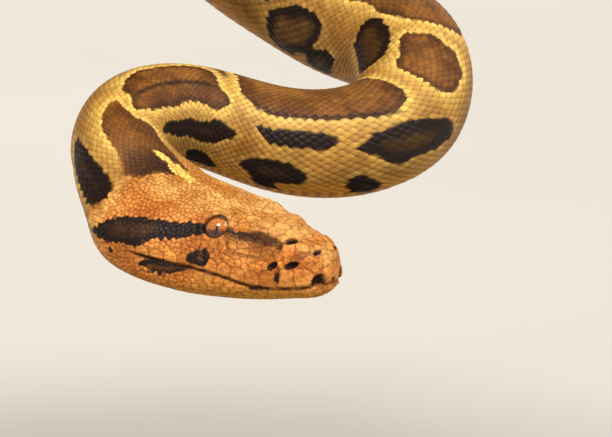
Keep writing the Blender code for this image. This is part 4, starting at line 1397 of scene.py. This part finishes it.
def lay_plates(name, plates, form, markings, material, rng):
    """Drops a group of plates onto the carved head; a small scale has one set of marks all over."""
    parts = [plate.points() for plate in plates]
    counts = np.array([len(part[0]) for part in parts])
    firsts = running(counts)[:-1]
    owner = np.repeat(np.arange(len(plates)), counts)
    middle = (firsts + counts - 1)[owner]
    points, heights, shares = (np.concatenate(column) for column in zip(*parts))
    sizes, outs, *ways = (np.array(each)[owner] for each in zip(
        *((plate.size, plate.out, plate.tailward, plate.right) for plate in plates)))
    landed, out, distance, direction, inner = form.drop(points, outs)
    faces = [face for plate, first in zip(plates, firsts) for face in plate.faces(first)]
    corners, starts = corner_lists(faces)
    each = rng.uniform(0, 1, len(plates))[owner]
    small = name != "head_plates"
    asked = middle if small else np.arange(len(points))
    marks, head = markings.at(distance[asked], direction[asked], 0.5 * (each - 0.5) * small)
    edge = fade((1 - shares) * sizes, 0.02 * MM, SEAM_WIDTH)
    # the last channel is the painted shade in the mouth's line, the folds and the slits
    tone = np.stack([head, each, edge, inner], 1)
    u, v = distance / (SMALL_SCALES_END * MM), share_round(direction)
    if small:
        step = points - points[middle]
        own = [np.clip(np.sum(step * way, axis=1) / (1.5 * sizes), -1, 1) for way in ways]
        u, v = (at[middle] + BAKE_PATCH / 2 * across for at, across in zip((u, v), own))
    make_piece(name, landed + out * heights[:, None], corners, starts, material, marks, tone,
               bake_places(u, v, corners), sharp=70)


# ---------------------------------------------------------------- the scales of the body

COAT_START = 0.0965
COAT_END = LENGTH - 0.003
SCALE_EDGE = math.radians(138)  # where the back's scales meet the belly's plates
SCALE_ROWS = ((2.24, 75), (2.34, 59), (2.44, 45), (2.52, 33), (2.59, 21), (3.0, 13))  # up to where, how many
SCALE_SHAPE = 1.35  # distance between rings of scales as a multiple of that between rows
SMALLEST_STEP = 0.0014
SIZE_SPREAD = 0.05
FULL_STEP = 0.003  # between rings, where the scales are as thick as they are given
COAT_PIECES = (  # name, where it ends, whether its scales are the finer ones
    ("neck", 0.27, True), ("fore", 0.55, True), ("coil_1", 0.95, False), ("coil_2", 1.35, False),
    ("coil_3", 1.75, False), ("coil_4", 2.12, False), ("tail", 3.0, False),
)


def mirrored(half, *middle):
    """A row of places up one side of a scale, then on its middle and down the other side."""
    return half + middle + tuple((along, -across, height) for along, across, height in half[::-1])


# One scale: places along it in ring spacings, across it in row spacings, and height in mm. The faces
# give the numbers of these places, the outline's first and the middle's last
FINE_OUTLINE = mirrored(((-0.92, -0.34, -0.30), (-0.45, -0.80, -0.10), (0.02, -0.98, 0.03),
                         (0.47, -0.76, 0.14), (0.83, -0.40, 0.20)), (1.05, 0.00, 0.22))
FINE_INNER = mirrored(((-0.48, -0.42, 0.14), (0.04, -0.60, 0.28), (0.52, -0.42, 0.36)), (0.82, 0.00, 0.34))
FINE_MIDDLE = ((0.15, 0.0, 0.40),)
FINE_FACES = (
    (0, 1, 11), (1, 2, 12, 11), (2, 3, 13, 12), (3, 4, 13), (4, 5, 14, 13), (5, 6, 15, 14), (6, 7, 15),
    (7, 8, 16, 15), (8, 9, 17, 16), (9, 10, 17), (10, 0, 11, 17),
    (11, 12, 18), (12, 13, 18), (13, 14, 18), (14, 15, 18), (15, 16, 18), (16, 17, 18), (17, 11, 18),
    (10, 9, 8, 7, 6, 5, 4, 3, 2, 1, 0),
)
PLAIN_OUTLINE = mirrored(((-0.90, -0.36, -0.30), (0.02, -0.98, 0.03), (0.62, -0.62, 0.17)),
                         (1.05, 0.00, 0.22))
PLAIN_INNER = mirrored(((-0.30, -0.46, 0.22), (0.55, -0.40, 0.36)))
PLAIN_FACES = (
    (0, 1, 7), (1, 2, 8, 7), (2, 3, 8), (3, 9, 8), (3, 4, 9), (4, 5, 10, 9), (5, 6, 10), (6, 0, 7, 10),
    (7, 8, 9, 10), (6, 5, 4, 3, 2, 1, 0),
)
FINE_SCALE = FINE_OUTLINE, FINE_INNER + FINE_MIDDLE, FINE_FACES
PLAIN_SCALE = PLAIN_OUTLINE, PLAIN_INNER, PLAIN_FACES
MARK_SHARPNESS = 0.55  # how much of its own size a scale's markings vary over
SCUTE_ACROSS = 11
SCUTE_ALONG = (  # in half lengths; height in mm; how much of a dark edge
    (-1.10, -0.30, 0.6), (-0.40, 0.05, 0.0), (0.40, 0.16, 0.0), (0.92, 0.18, 0.1), (1.06, 0.02, 1.0),
)
SCUTE_LAP = math.radians(3)  # how far a belly plate reaches past the scales' edge
SCUTE_PARTING = math.radians(1)  # half the gap between the two of a pair
SCUTE_BEVEL, SCUTE_SUNK = 6, 0.12  # how steep a belly plate's sides are, and how deep they go, mm


def row_count(distance):
    return next(rows for end, rows in SCALE_ROWS if distance < end)


def scale_rings():
    """The distance of each ring of scales, and the spacing of rings there."""
    rings, distance = [], COAT_START
    while distance < COAT_END:
        row_step = 2 * SCALE_EDGE / (row_count(distance) - 1)
        step = max(SCALE_SHAPE * row_step * float(body_radius(distance)), SMALLEST_STEP)
        rings.append((distance, step))
        distance += step
    return rings


def back_scales():
    """Distance, direction, ring spacing and row spacing of each scale of the back and flanks."""
    scales = []
    for k, (distance, step) in enumerate(scale_rings()):
        rows = row_count(distance)
        row_step = 2 * SCALE_EDGE / (rows - 1)
        for row in range(k % 2, rows, 2):
            scales.append((distance, -SCALE_EDGE + row * row_step, step, row_step))
    return np.array(scales)


def lay_on(skin, distance, direction, height):
    """Places so high over the skin, which is near enough round here."""
    place = skin.point(distance, direction)
    _, up, right = skin.course.at(distance)
    out = right * np.sin(direction)[..., None] + up * np.cos(direction)[..., None]
    return place + out * (height - COAT_DEPTH)[..., None]


def build_scales(skin, markings, material):
    """The overlapping scales of the neck, trunk and tail, with their free tips to the rear."""
    rng = np.random.default_rng(2)
    scales = back_scales()
    start = 0.0
    for name, end, fine in COAT_PIECES:
        chosen = scales[(scales[:, 0] >= start) & (scales[:, 0] < end)]
        form = FINE_SCALE if fine else PLAIN_SCALE
        build_coat(f"scales_{name}", chosen, (start, end), form, skin, markings, material, rng)
        start = end


def build_coat(name, scales, stretch, form, skin, markings, material, rng):
    """One stretch of the coat: the same small shape laid at every scale's place.

    A scale's markings are read nearer its middle than its points are, so that each scale is mostly
    of one colour.
    """
    outline, inner, faces = form
    shape = np.array(outline + inner)
    distance, direction, step, row_step = scales.T[..., None]
    each = rng.uniform(0, 1, len(scales))
    size = 1 + SIZE_SPREAD * rng.normal(size=(len(scales), 1))
    along = shape[:, 0] * step * size
    around = shape[:, 1] * row_step * (2 - size)
    height = shape[:, 2] * MM * np.clip(step / FULL_STEP, 0.5, 1.5) * size
    points = lay_on(skin, np.minimum(distance + along, LENGTH), direction + around, height)
    marks, head = markings.at((distance + MARK_SHARPNESS * along).ravel(),
                              (direction + MARK_SHARPNESS * around).ravel(),
                              0.7 * (np.repeat(each, len(shape)) - 0.5))
    edge = np.array([1.0] * len(outline) + [0.0] * len(inner))
    # painted shade on the front of each scale, which lies tucked under the tip of the scale ahead
    root = 0.6 * smoothstep(-shape[:, 0], 0.1, 0.9)
    tone = np.stack(np.broadcast_arrays(head.reshape(len(scales), -1), each[:, None], edge, root), -1)
    start, end = stretch
    u = (distance - start) / (min(end, LENGTH) - start) + BAKE_PATCH / 2 * shape[:, 0]
    v = share_round(direction) + BAKE_PATCH / 2 * shape[:, 1]
    corners, starts = repeated(faces, len(scales), len(shape))
    make_piece(name, points.reshape(-1, 3), corners, starts, material, marks,
               tone.reshape(-1, 4), bake_places(u, v, corners), sharp=75)


def belly_plates():
    """Distance, ring spacing and the two side directions of each plate of the belly."""
    left, right = SCALE_EDGE - SCUTE_LAP, 2 * math.pi - SCALE_EDGE + SCUTE_LAP
    plates = []
    for distance, step in scale_rings()[::2]:
        if distance < VENT:
            plates.append((distance, step, left, right))
        else:
            plates.append((distance, step, left, math.pi - SCUTE_PARTING))
            plates.append((distance, step, math.pi + SCUTE_PARTING, right))
    return np.array(plates)


def scute_faces(rows, count):
    """The top, underside and two sides of a plate of so many rows of points."""
    top = ring_quads(rows, count).reshape(rows - 1, count, 4)[:, :-1].reshape(-1, 4).tolist()
    last = (rows - 1) * count
    under = [(c + 1, c, last + c, last + c + 1) for c in range(count - 1)]
    return [*top, *under, tuple(range(0, rows * count, count)), tuple(range(rows * count - 1, 0, -count))]


def build_scutes(skin, markings, material):
    """The broad plates of the belly, one to every two rings of scales, and in pairs behind the vent."""
    distance, step, left, right = belly_plates().T[..., None, None]
    plates = len(distance)
    along, rise, dark = np.array(SCUTE_ALONG).T
    share = np.linspace(0, 1, SCUTE_ACROSS)
    start = distance.ravel()
    distance = distance + along[:, None] * step + 0 * share
    direction = left + share * (right - left) + 0 * distance
    bevel = np.minimum(1, SCUTE_BEVEL * np.minimum(share, 1 - share))
    thick = np.clip(step / FULL_STEP, 0.4, 1.3)
    height = MM * thick * (rise[:, None] * bevel - SCUTE_SUNK * (1 - bevel)) + 0 * distance
    points = lay_on(skin, np.minimum(distance, LENGTH), direction, height).reshape(-1, 3)
    points_each = len(along) * SCUTE_ACROSS
    corners, starts = repeated(scute_faces(len(along), SCUTE_ACROSS), plates, points_each)
    each = np.repeat(np.random.default_rng(4).uniform(0, 1, plates), points_each)
    marks, head = markings.at(distance.ravel(), direction.ravel(), 0.0)
    tone = np.stack([head, each, np.tile(np.repeat(dark, SCUTE_ACROSS), plates), np.zeros(len(head))], 1)
    middle = np.mod(share_round(direction), 1).reshape(plates, -1).mean(axis=1)
    across = np.tile(np.linspace(-1, 1, SCUTE_ACROSS), len(along) * plates)
    u = np.repeat(start / LENGTH, points_each)
    u = u + BAKE_PATCH / 2 * np.tile(np.repeat(along, SCUTE_ACROSS), plates)
    v = np.repeat(middle, points_each) + BAKE_PATCH / 2 * across
    make_piece("belly_plates", points, corners, starts, material, marks, tone,
               bake_places(u, v, corners), sharp=60)


# ---------------------------------------------------------------- the eyes

EYE_COLUMNS = 72
EYE_ROWS = 44
EYE_POLE = 0.02  # the turn left open at the front and back of an eye
EYE_FLATNESS, EYE_FLAT_SIDE = 0.05, (0.5, 1.1)  # how much flatter an eye's front is, and where that ends
EYE_BULGE = 0.0014  # how far the eye stands out of the skin
GAZE = (0.80, 0.50, 0.33)  # out, forward and up
PUPIL_HALF_HEIGHT = 0.0029
PUPIL_HALF_WIDTH = 0.00042
PUPIL_BLUR = 0.00022
PUPIL_LEAN = math.radians(8)
IRIS_RIM = (0.0040, 0.0047)
IRIS_LIGHT = (-0.0012, 0.0010)  # heights over which the iris turns from brown to gold


def build_eyes(skin, material):
    """Glossy eyes, each painted in its own axes: Z out of the head, Y up the pupil, X to the side."""
    fall = np.linspace(EYE_POLE, math.pi - EYE_POLE, EYE_ROWS)[:, None]
    turn = full_turn(EYE_COLUMNS)
    local = np.stack(np.broadcast_arrays(np.sin(fall) * np.cos(turn), np.sin(fall) * np.sin(turn),
                                         np.cos(fall)), -1)
    ball = EYE_RADIUS * (1 - EYE_FLATNESS * fade(fall, *EYE_FLAT_SIDE))[..., None]
    corners, starts = net_faces(EYE_ROWS, EYE_COLUMNS)
    bake = 0.5 + 0.45 * local[..., :2] * (0.5 + 0.5 * (local[..., 2:] > 0))
    _, up, right = skin.course.at(EYE_BEHIND)
    for side, name in ((-1, "eye_left"), (1, "eye_right")):
        seat, _, _, outward = skin_spot(skin, EYE_BEHIND, side * EYE_DIRECTION)
        centre = seat - (EYE_RADIUS - EYE_BULGE) * outward
        out = unit(side * GAZE[0] * right + GAZE[1] * np.cross(up, right) + GAZE[2] * up)
        upward = unit(up - (up @ out) * out)
        points = centre + ball * (local @ np.stack([np.cross(upward, out), upward, out]))
        piece = make_piece(f"{name}_ball", points.reshape(-1, 3), corners, starts, material,
                           eye_painting(local.reshape(-1, 3) * EYE_RADIUS), bake=bake.reshape(-1, 2)[corners])
        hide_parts(name)


def eye_painting(local):
    """How high on the iris each point is, and how near the pupil and the dark rim."""
    x, y = local[:, 0], local[:, 1]
    lean = x - math.tan(PUPIL_LEAN) * y
    slit = np.maximum(1 - (y / PUPIL_HALF_HEIGHT) ** 2, 0)
    pupil = fade(np.abs(lean), PUPIL_HALF_WIDTH * slit, PUPIL_HALF_WIDTH * slit + PUPIL_BLUR) * (slit > 0)
    return np.stack([smoothstep(y, *IRIS_LIGHT), pupil, smoothstep(np.hypot(x, y), *IRIS_RIM), 0 * x], 1)


# ---------------------------------------------------------------- the branch

BARK_DEPTH = 0.0021
BARK_RINGS = 260
BARK_COLUMNS = 96
BARK_STRETCH = 0.78  # how much longer than wide the bark's plates are, as the share taken off their length
BARK_PLATES, BARK_ROUGHNESS = 95, 240  # how many to a metre
FURROW_WIDTH = 3.2  # the larger, the narrower
END_RINGS = (0.97, 0.9, 0.75, 0.55, 0.35, 0.15)
RIM_ROUNDING = 0.0012
TWIG_RINGS = 40
TWIG_COLUMNS = 48
TWIG_FOOT = 0.016  # from the branch's middle line, where the twig begins inside it
TWIG_FLARE, TWIG_FLARE_LENGTH = 0.006, 0.009


def bark_depth(place, lengthwise):
    """How deep the bark's furrows are at a place, with their lie along the wood."""
    place = Vector(place)
    squeezed = place - lengthwise * place.dot(lengthwise) * BARK_STRETCH
    plates = noise.voronoi(squeezed * BARK_PLATES)[0]
    furrow = 1 - min(1.0, (plates[1] - plates[0]) * FURROW_WIDTH)
    rough = noise.fractal(squeezed * BARK_ROUGHNESS, 1.0, 2.0, 3)
    return BARK_DEPTH * min(1.0, max(0.0, 0.25 + 0.75 * furrow * furrow + 0.22 * rough))


def wood(name, rings, lengthwise, material):
    """A cut length of wood: barked sides, and flat sawn ends with slightly rounded rims."""
    count = len(rings[0])
    lengthwise = Vector(lengthwise)
    shaped = []
    for k, ring in enumerate(rings):
        rim = RIM_ROUNDING if k in (0, len(rings) - 1) else 0.0
        depth = np.array([bark_depth(point, lengthwise) for point in ring]) + rim
        shaped.append(ring + unit(ring.mean(axis=0) - ring) * depth[:, None])
    front, back = ([ring.mean(axis=0) + (ring - ring.mean(axis=0)) * share for share in END_RINGS]
                   for ring in (shaped[0], shaped[-1]))
    shaped = front[::-1] + shaped + back
    sawn = np.pad(np.zeros(len(rings) * count), len(END_RINGS) * count, constant_values=1.0)
    radial = np.concatenate([np.linalg.norm(ring - ring.mean(axis=0), axis=1) for ring in shaped])
    paint = np.stack([sawn, radial / BRANCH_RADIUS, 0 * sawn, 0 * sawn], 1)
    corners, starts = net_faces(len(shaped), count)
    return make_piece(name, np.concatenate(shaped), corners, starts, material, paint, sharp=50)


def branch_rings():
    """Uneven rings from the branch's left end to its right end."""
    around = full_turn(BARK_COLUMNS)
    for x in np.linspace(-BRANCH_LENGTH / 2, BRANCH_LENGTH / 2, BARK_RINGS):
        wave = 0.5 + 0.25 * np.sin(2 * around + 9 * x) + 0.25 * np.sin(3 * around - 14 * x + 1)
        radius = BRANCH_RADIUS - BRANCH_UNEVENNESS * wave
        ring = np.stack([np.full(BARK_COLUMNS, x), -np.sin(around) * radius, np.cos(around) * radius], -1)
        yield ring + (0, BRANCH_Y, BRANCH_Z)


def twig_rings(lean):
    """Rings up the stub, which flares where it leaves the branch."""
    aside = np.array((math.cos(STUB_TILT), 0.0, -math.sin(STUB_TILT)))
    around = full_turn(TWIG_COLUMNS)[:, None]
    across = np.cos(around) * aside + np.sin(around) * np.array((0.0, 1.0, 0.0))
    foot = np.array((STUB_X, BRANCH_Y, BRANCH_Z)) + TWIG_FOOT * lean
    for reach in np.linspace(0, STUB_LENGTH - TWIG_FOOT, TWIG_RINGS):
        flare = TWIG_FLARE * math.exp(-reach / TWIG_FLARE_LENGTH)
        yield foot + reach * lean + (STUB_RADIUS + flare) * across


def build_branch(material):
    branch = wood("branch_wood", list(branch_rings()), (1, 0, 0), material)
    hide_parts("perch_branch")
    lean = np.array((math.sin(STUB_TILT), 0.0, math.cos(STUB_TILT)))
    wood("branch_twig", list(twig_rings(lean)), lean, material)


# ---------------------------------------------------------------- the looks of each material

CREAM = colour(248, 206, 106)
FLANK, FLANK_LIGHT = colour(146, 98, 36), colour(176, 124, 52)
SADDLE, SADDLE_LIGHT = colour(94, 54, 17), colour(136, 86, 31)
DARK = colour(28, 12, 4)
BELLY = colour(206, 140, 46)
HEAD, CROWN = colour(192, 122, 46), colour(234, 178, 98)
CHEEK, CHEEK_LIGHT = colour(188, 106, 34), colour(222, 148, 68)
# painted shade, a dark red, for the mouth's line, slits, folds and the tucked fronts of the scales
PAINTED_SHADE_COLOUR = colour(34, 8, 6)
# Tints multiply the colour under them
SEAM = (0.58, 0.44, 0.34, 1.0)
# painted shade in the lows of the head's creases and painted highlight on their ridges
PAINTED_CREASE_SHADE, PAINTED_RIDGE_HIGHLIGHT = (0.66, 0.56, 0.50, 1.0), (1.12, 1.14, 1.18, 1.0)
HEAD_TURN = math.radians(-45)  # about Z from the frame's axes to the head's
IRIS_GOLD = colour(150, 72, 14), colour(204, 124, 42)
IRIS_BROWN = colour(36, 14, 6), colour(84, 36, 14)
IRIS_EDGE, PUPIL = colour(22, 9, 5), colour(6, 3, 2)
BARK, BARK_FURROW = (colour(74, 56, 42), colour(120, 98, 76)), colour(46, 34, 26)
CUT_WOOD, CUT_BARK = (colour(190, 156, 112), colour(146, 108, 68)), colour(70, 50, 36)
PAINT, PAINT_DUST = colour(26, 26, 27), colour(62, 60, 58)
STEEL, STEEL_STAIN = colour(176, 176, 178), colour(146, 144, 142)
FLOOR = colour(160, 158, 153), colour(164, 162, 157)


def marked_base(look, head, clouds):
    """The markings' colours over the ground colours of the flank, crown, cheek and belly."""
    saddle, dark, cream, belly = look.channels("marks")
    flank = look.blend(clouds, 0.35, 0.65, FLANK, FLANK_LIGHT)
    crown = look.blend(clouds, 0.3, 0.7, HEAD, CROWN)
    cheek = look.blend(clouds, 0.3, 0.7, CHEEK, CHEEK_LIGHT)
    base = look.blend(head, 0.0, 0.5, flank, crown)
    base = look.blend(head, 0.5, 1.0, base, cheek)
    base = look.mix(belly, base, BELLY)
    base = look.mix(look.times(cream, look.maths("SUBTRACT", 1.0, belly)), base, CREAM)
    base = look.mix(saddle, base, look.blend(clouds, 0.35, 0.7, SADDLE, SADDLE_LIGHT))
    return look.mix(dark, base, DARK)


def scale_look(name, seam_strength):
    """Skin and scales alike: the markings' colours, each scale a little different, with darker rims, painted
    shade in hollows and under scale tips, and painted highlight on the head's crease ridges.
    """
    look = Look(name)
    head, each, edge, painted_shade = look.channels("tone")
    fine = look.noise(0.0016, 2.0)
    base = marked_base(look, head, look.noise(0.012, 3.0))
    shade = look.plus(0.84, look.times(each, 0.26))
    shade = look.times(shade, look.spread(fine, 0.2, 0.8, 0.86, 1.12))
    base = look.mix(1.0, base, look.grey(shade), "MULTIPLY")
    base = look.tinted(look.times(edge, seam_strength), base, SEAM)
    creases = look.noise(0.0011, 4.0, (2.6, 1, 1), HEAD_TURN)
    on_head = look.spread(head, 0.0, 0.5)
    # the head's creases: painted shade in their lows and painted highlight on their ridges, from the same
    # noise as their bump
    base = look.tinted(look.times(on_head, 0.8), base, look.blend(creases, 0.36, 0.62, PAINTED_CREASE_SHADE, PAINTED_RIDGE_HIGHLIGHT))
    # painted shade in the mouth's line, slits, folds and under each scale's tip
    base = look.mix(painted_shade, base, PAINTED_SHADE_COLOUR)
    relief = look.bump(look.times(look.spread(creases, 0.36, 0.64), on_head), 0.00024, 0.75)
    grain = look.plus(look.noise(0.0005, 2.0), look.times(look.noise(0.0022, 3.0), 1.4))
    look.set(Base_Color=base, Roughness=look.spread(fine, 0.2, 0.8, 0.40, 0.56), Specular_IOR_Level=0.20,
             Normal=look.bump(grain, 0.00007, 0.6, relief), Coat_Weight=0.03, Coat_Roughness=0.25,
             Subsurface_Weight=0.06, Subsurface_Scale=0.0012)
    return look.material


def eye_look():
    look = Look("eye")
    upper, pupil, rim, _ = look.channels("marks")
    veins = look.noise(0.0007, 4.0)
    gold = look.blend(veins, 0.35, 0.65, *IRIS_GOLD)
    brown = look.blend(veins, 0.35, 0.65, *IRIS_BROWN)
    painted = look.mix(look.times(rim, 0.9), look.mix(upper, brown, gold), IRIS_EDGE)
    painted = look.mix(pupil, painted, PUPIL)
    look.set(Base_Color=painted, Roughness=0.16, Specular_IOR_Level=0.5, Coat_Weight=0.5, Coat_Roughness=0.02)
    return look.material


def bark_look():
    look = Look("bark")
    sawn, radial, _, _ = look.channels("marks")
    lumps = look.noise(0.03, 4.0, (2.8, 1, 1))
    fibres = look.noise(0.0035, 4.0, (8, 1, 1))
    bark = look.blend(lumps, 0.35, 0.65, *BARK)
    bark = look.blend(fibres, 0.35, 0.7, BARK_FURROW, bark)
    rings = look.maths("SINE", look.plus(look.times(radial, 75.0), look.times(lumps, 14.0)))
    cut = look.blend(rings, -0.4, 1.0, *CUT_WOOD)
    cut = look.blend(radial, 0.86, 0.94, cut, CUT_BARK)
    look.set(Base_Color=look.mix(sawn, bark, cut), Roughness=0.88, Specular_IOR_Level=0.25,
             Normal=look.bump(look.plus(fibres, look.noise(0.0012, 3.0)), 0.0006, 0.7))
    return look.material


def base_look():
    """Matt black paint over fine fibreboard, a little worn and dusty."""
    look = Look("matt black paint")
    dust = look.noise(0.05, 5.0)
    paint = look.mix(look.spread(dust, 0.4, 0.75, 0.0, 0.35), PAINT, PAINT_DUST)
    look.set(Base_Color=paint, Roughness=look.spread(dust, 0.3, 0.7, 0.50, 0.66),
             Normal=look.bump(look.noise(0.0009, 2.0), 0.00012, 0.5), Specular_IOR_Level=0.4)
    return look.material


def steel_look():
    """Rod with the fine rings that turning leaves."""
    look = Look("satin steel")
    turned = look.noise(0.004, 3.0, (4, 4, 0.11))
    steel = look.blend(look.noise(0.03, 4.0), 0.35, 0.7, STEEL, STEEL_STAIN)
    look.set(Base_Color=steel, Metallic=1.0, Roughness=look.spread(turned, 0.3, 0.7, 0.24, 0.36),
             Normal=look.bump(turned, 0.00003, 0.5))
    return look.material


def floor_look():
    look = Look("pale floor")
    look.set(Base_Color=look.blend(look.noise(0.6, 3.0), 0.3, 0.7, *FLOOR), Roughness=0.75)
    return look.material


# ---------------------------------------------------------------- floor, lights and camera

FLOOR_SIZE = 24.0
CAMERA_PLACE = (0.14849, -1.25328, 0.54051)
CAMERA_PITCH = math.radians(75)  # from straight down: 15 degrees below level
CAMERA_LENS, CAMERA_SENSOR = 179.9, 36.0
CAMERA_CLIP = (0.05, 60.0)
LIGHTS = (  # name, place it shines from, spread (degrees), strength, colour; level over the whole floor
    ("key", (-0.45, -1.43, 2.43), 16, 2.7, (1.0, 0.94, 0.85)),
    ("fill", (1.77, -0.96, 2.10), 35, 1.5, (1.0, 0.95, 0.88)),
    ("rear", (-1.31, 1.24, 2.32), 22, 3.0, (1.0, 0.94, 0.85)),
)
AIM = (0.08, -0.12, 0.27)
SKY = (0.86, 0.85, 0.83, 1.0)
SKY_STRENGTH = 0.65


def place_in_scene(name, data, place, turn):
    """An object for a lamp's or a camera's data."""
    made = bpy.data.objects.new(name, data)
    made.location, made.rotation_euler = place, turn
    bpy.context.scene.collection.objects.link(made)
    return made


def build_stage():
    bpy.ops.mesh.primitive_plane_add(size=FLOOR_SIZE)
    floor = bpy.context.object
    floor.name = "floor"
    floor.data.materials.append(floor_look())
    for name, place, spread, strength, tint in LIGHTS:
        light = bpy.data.lights.new(name, "SUN")
        light.angle, light.energy, light.color = math.radians(spread), strength, tint
        place_in_scene(name, light, place, (Vector(AIM) - Vector(place)).to_track_quat("-Z", "Y").to_euler())
    world = bpy.data.worlds.new("studio")
    world.use_nodes = True
    background = world.node_tree.nodes["Background"]
    background.inputs["Color"].default_value = SKY
    background.inputs["Strength"].default_value = SKY_STRENGTH
    bpy.context.scene.world = world
    bpy.context.scene.view_settings.view_transform = "Standard"


def build_camera():
    camera = bpy.data.cameras.new("camera")
    camera.lens, camera.sensor_width = CAMERA_LENS, CAMERA_SENSOR
    camera.clip_start, camera.clip_end = CAMERA_CLIP
    bpy.context.scene.camera = place_in_scene("camera", camera, CAMERA_PLACE, (CAMERA_PITCH, 0.0, 0.0))


def dress_stand():
    """The stand's own solids keep their shape and take a better finish."""
    for name, look in (("stand_base", base_look), ("stand_rod_left", steel_look),
                       ("stand_rod_right", steel_look)):
        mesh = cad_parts[name].data
        mesh.materials.clear()
        mesh.materials.append(look())


def build():
    build_camera()
    build_stage()
    dress_stand()
    skin = Skin(Course())
    markings = Markings()
    coat = scale_look("python scales", seam_strength=0.6)
    build_skin(skin, markings, scale_look("python skin", seam_strength=0.95))
    build_plates(Form(skin), markings, coat)
    build_scales(skin, markings, coat)
    build_scutes(skin, markings, coat)
    build_eyes(skin, eye_look())
    build_branch(bark_look())


build()
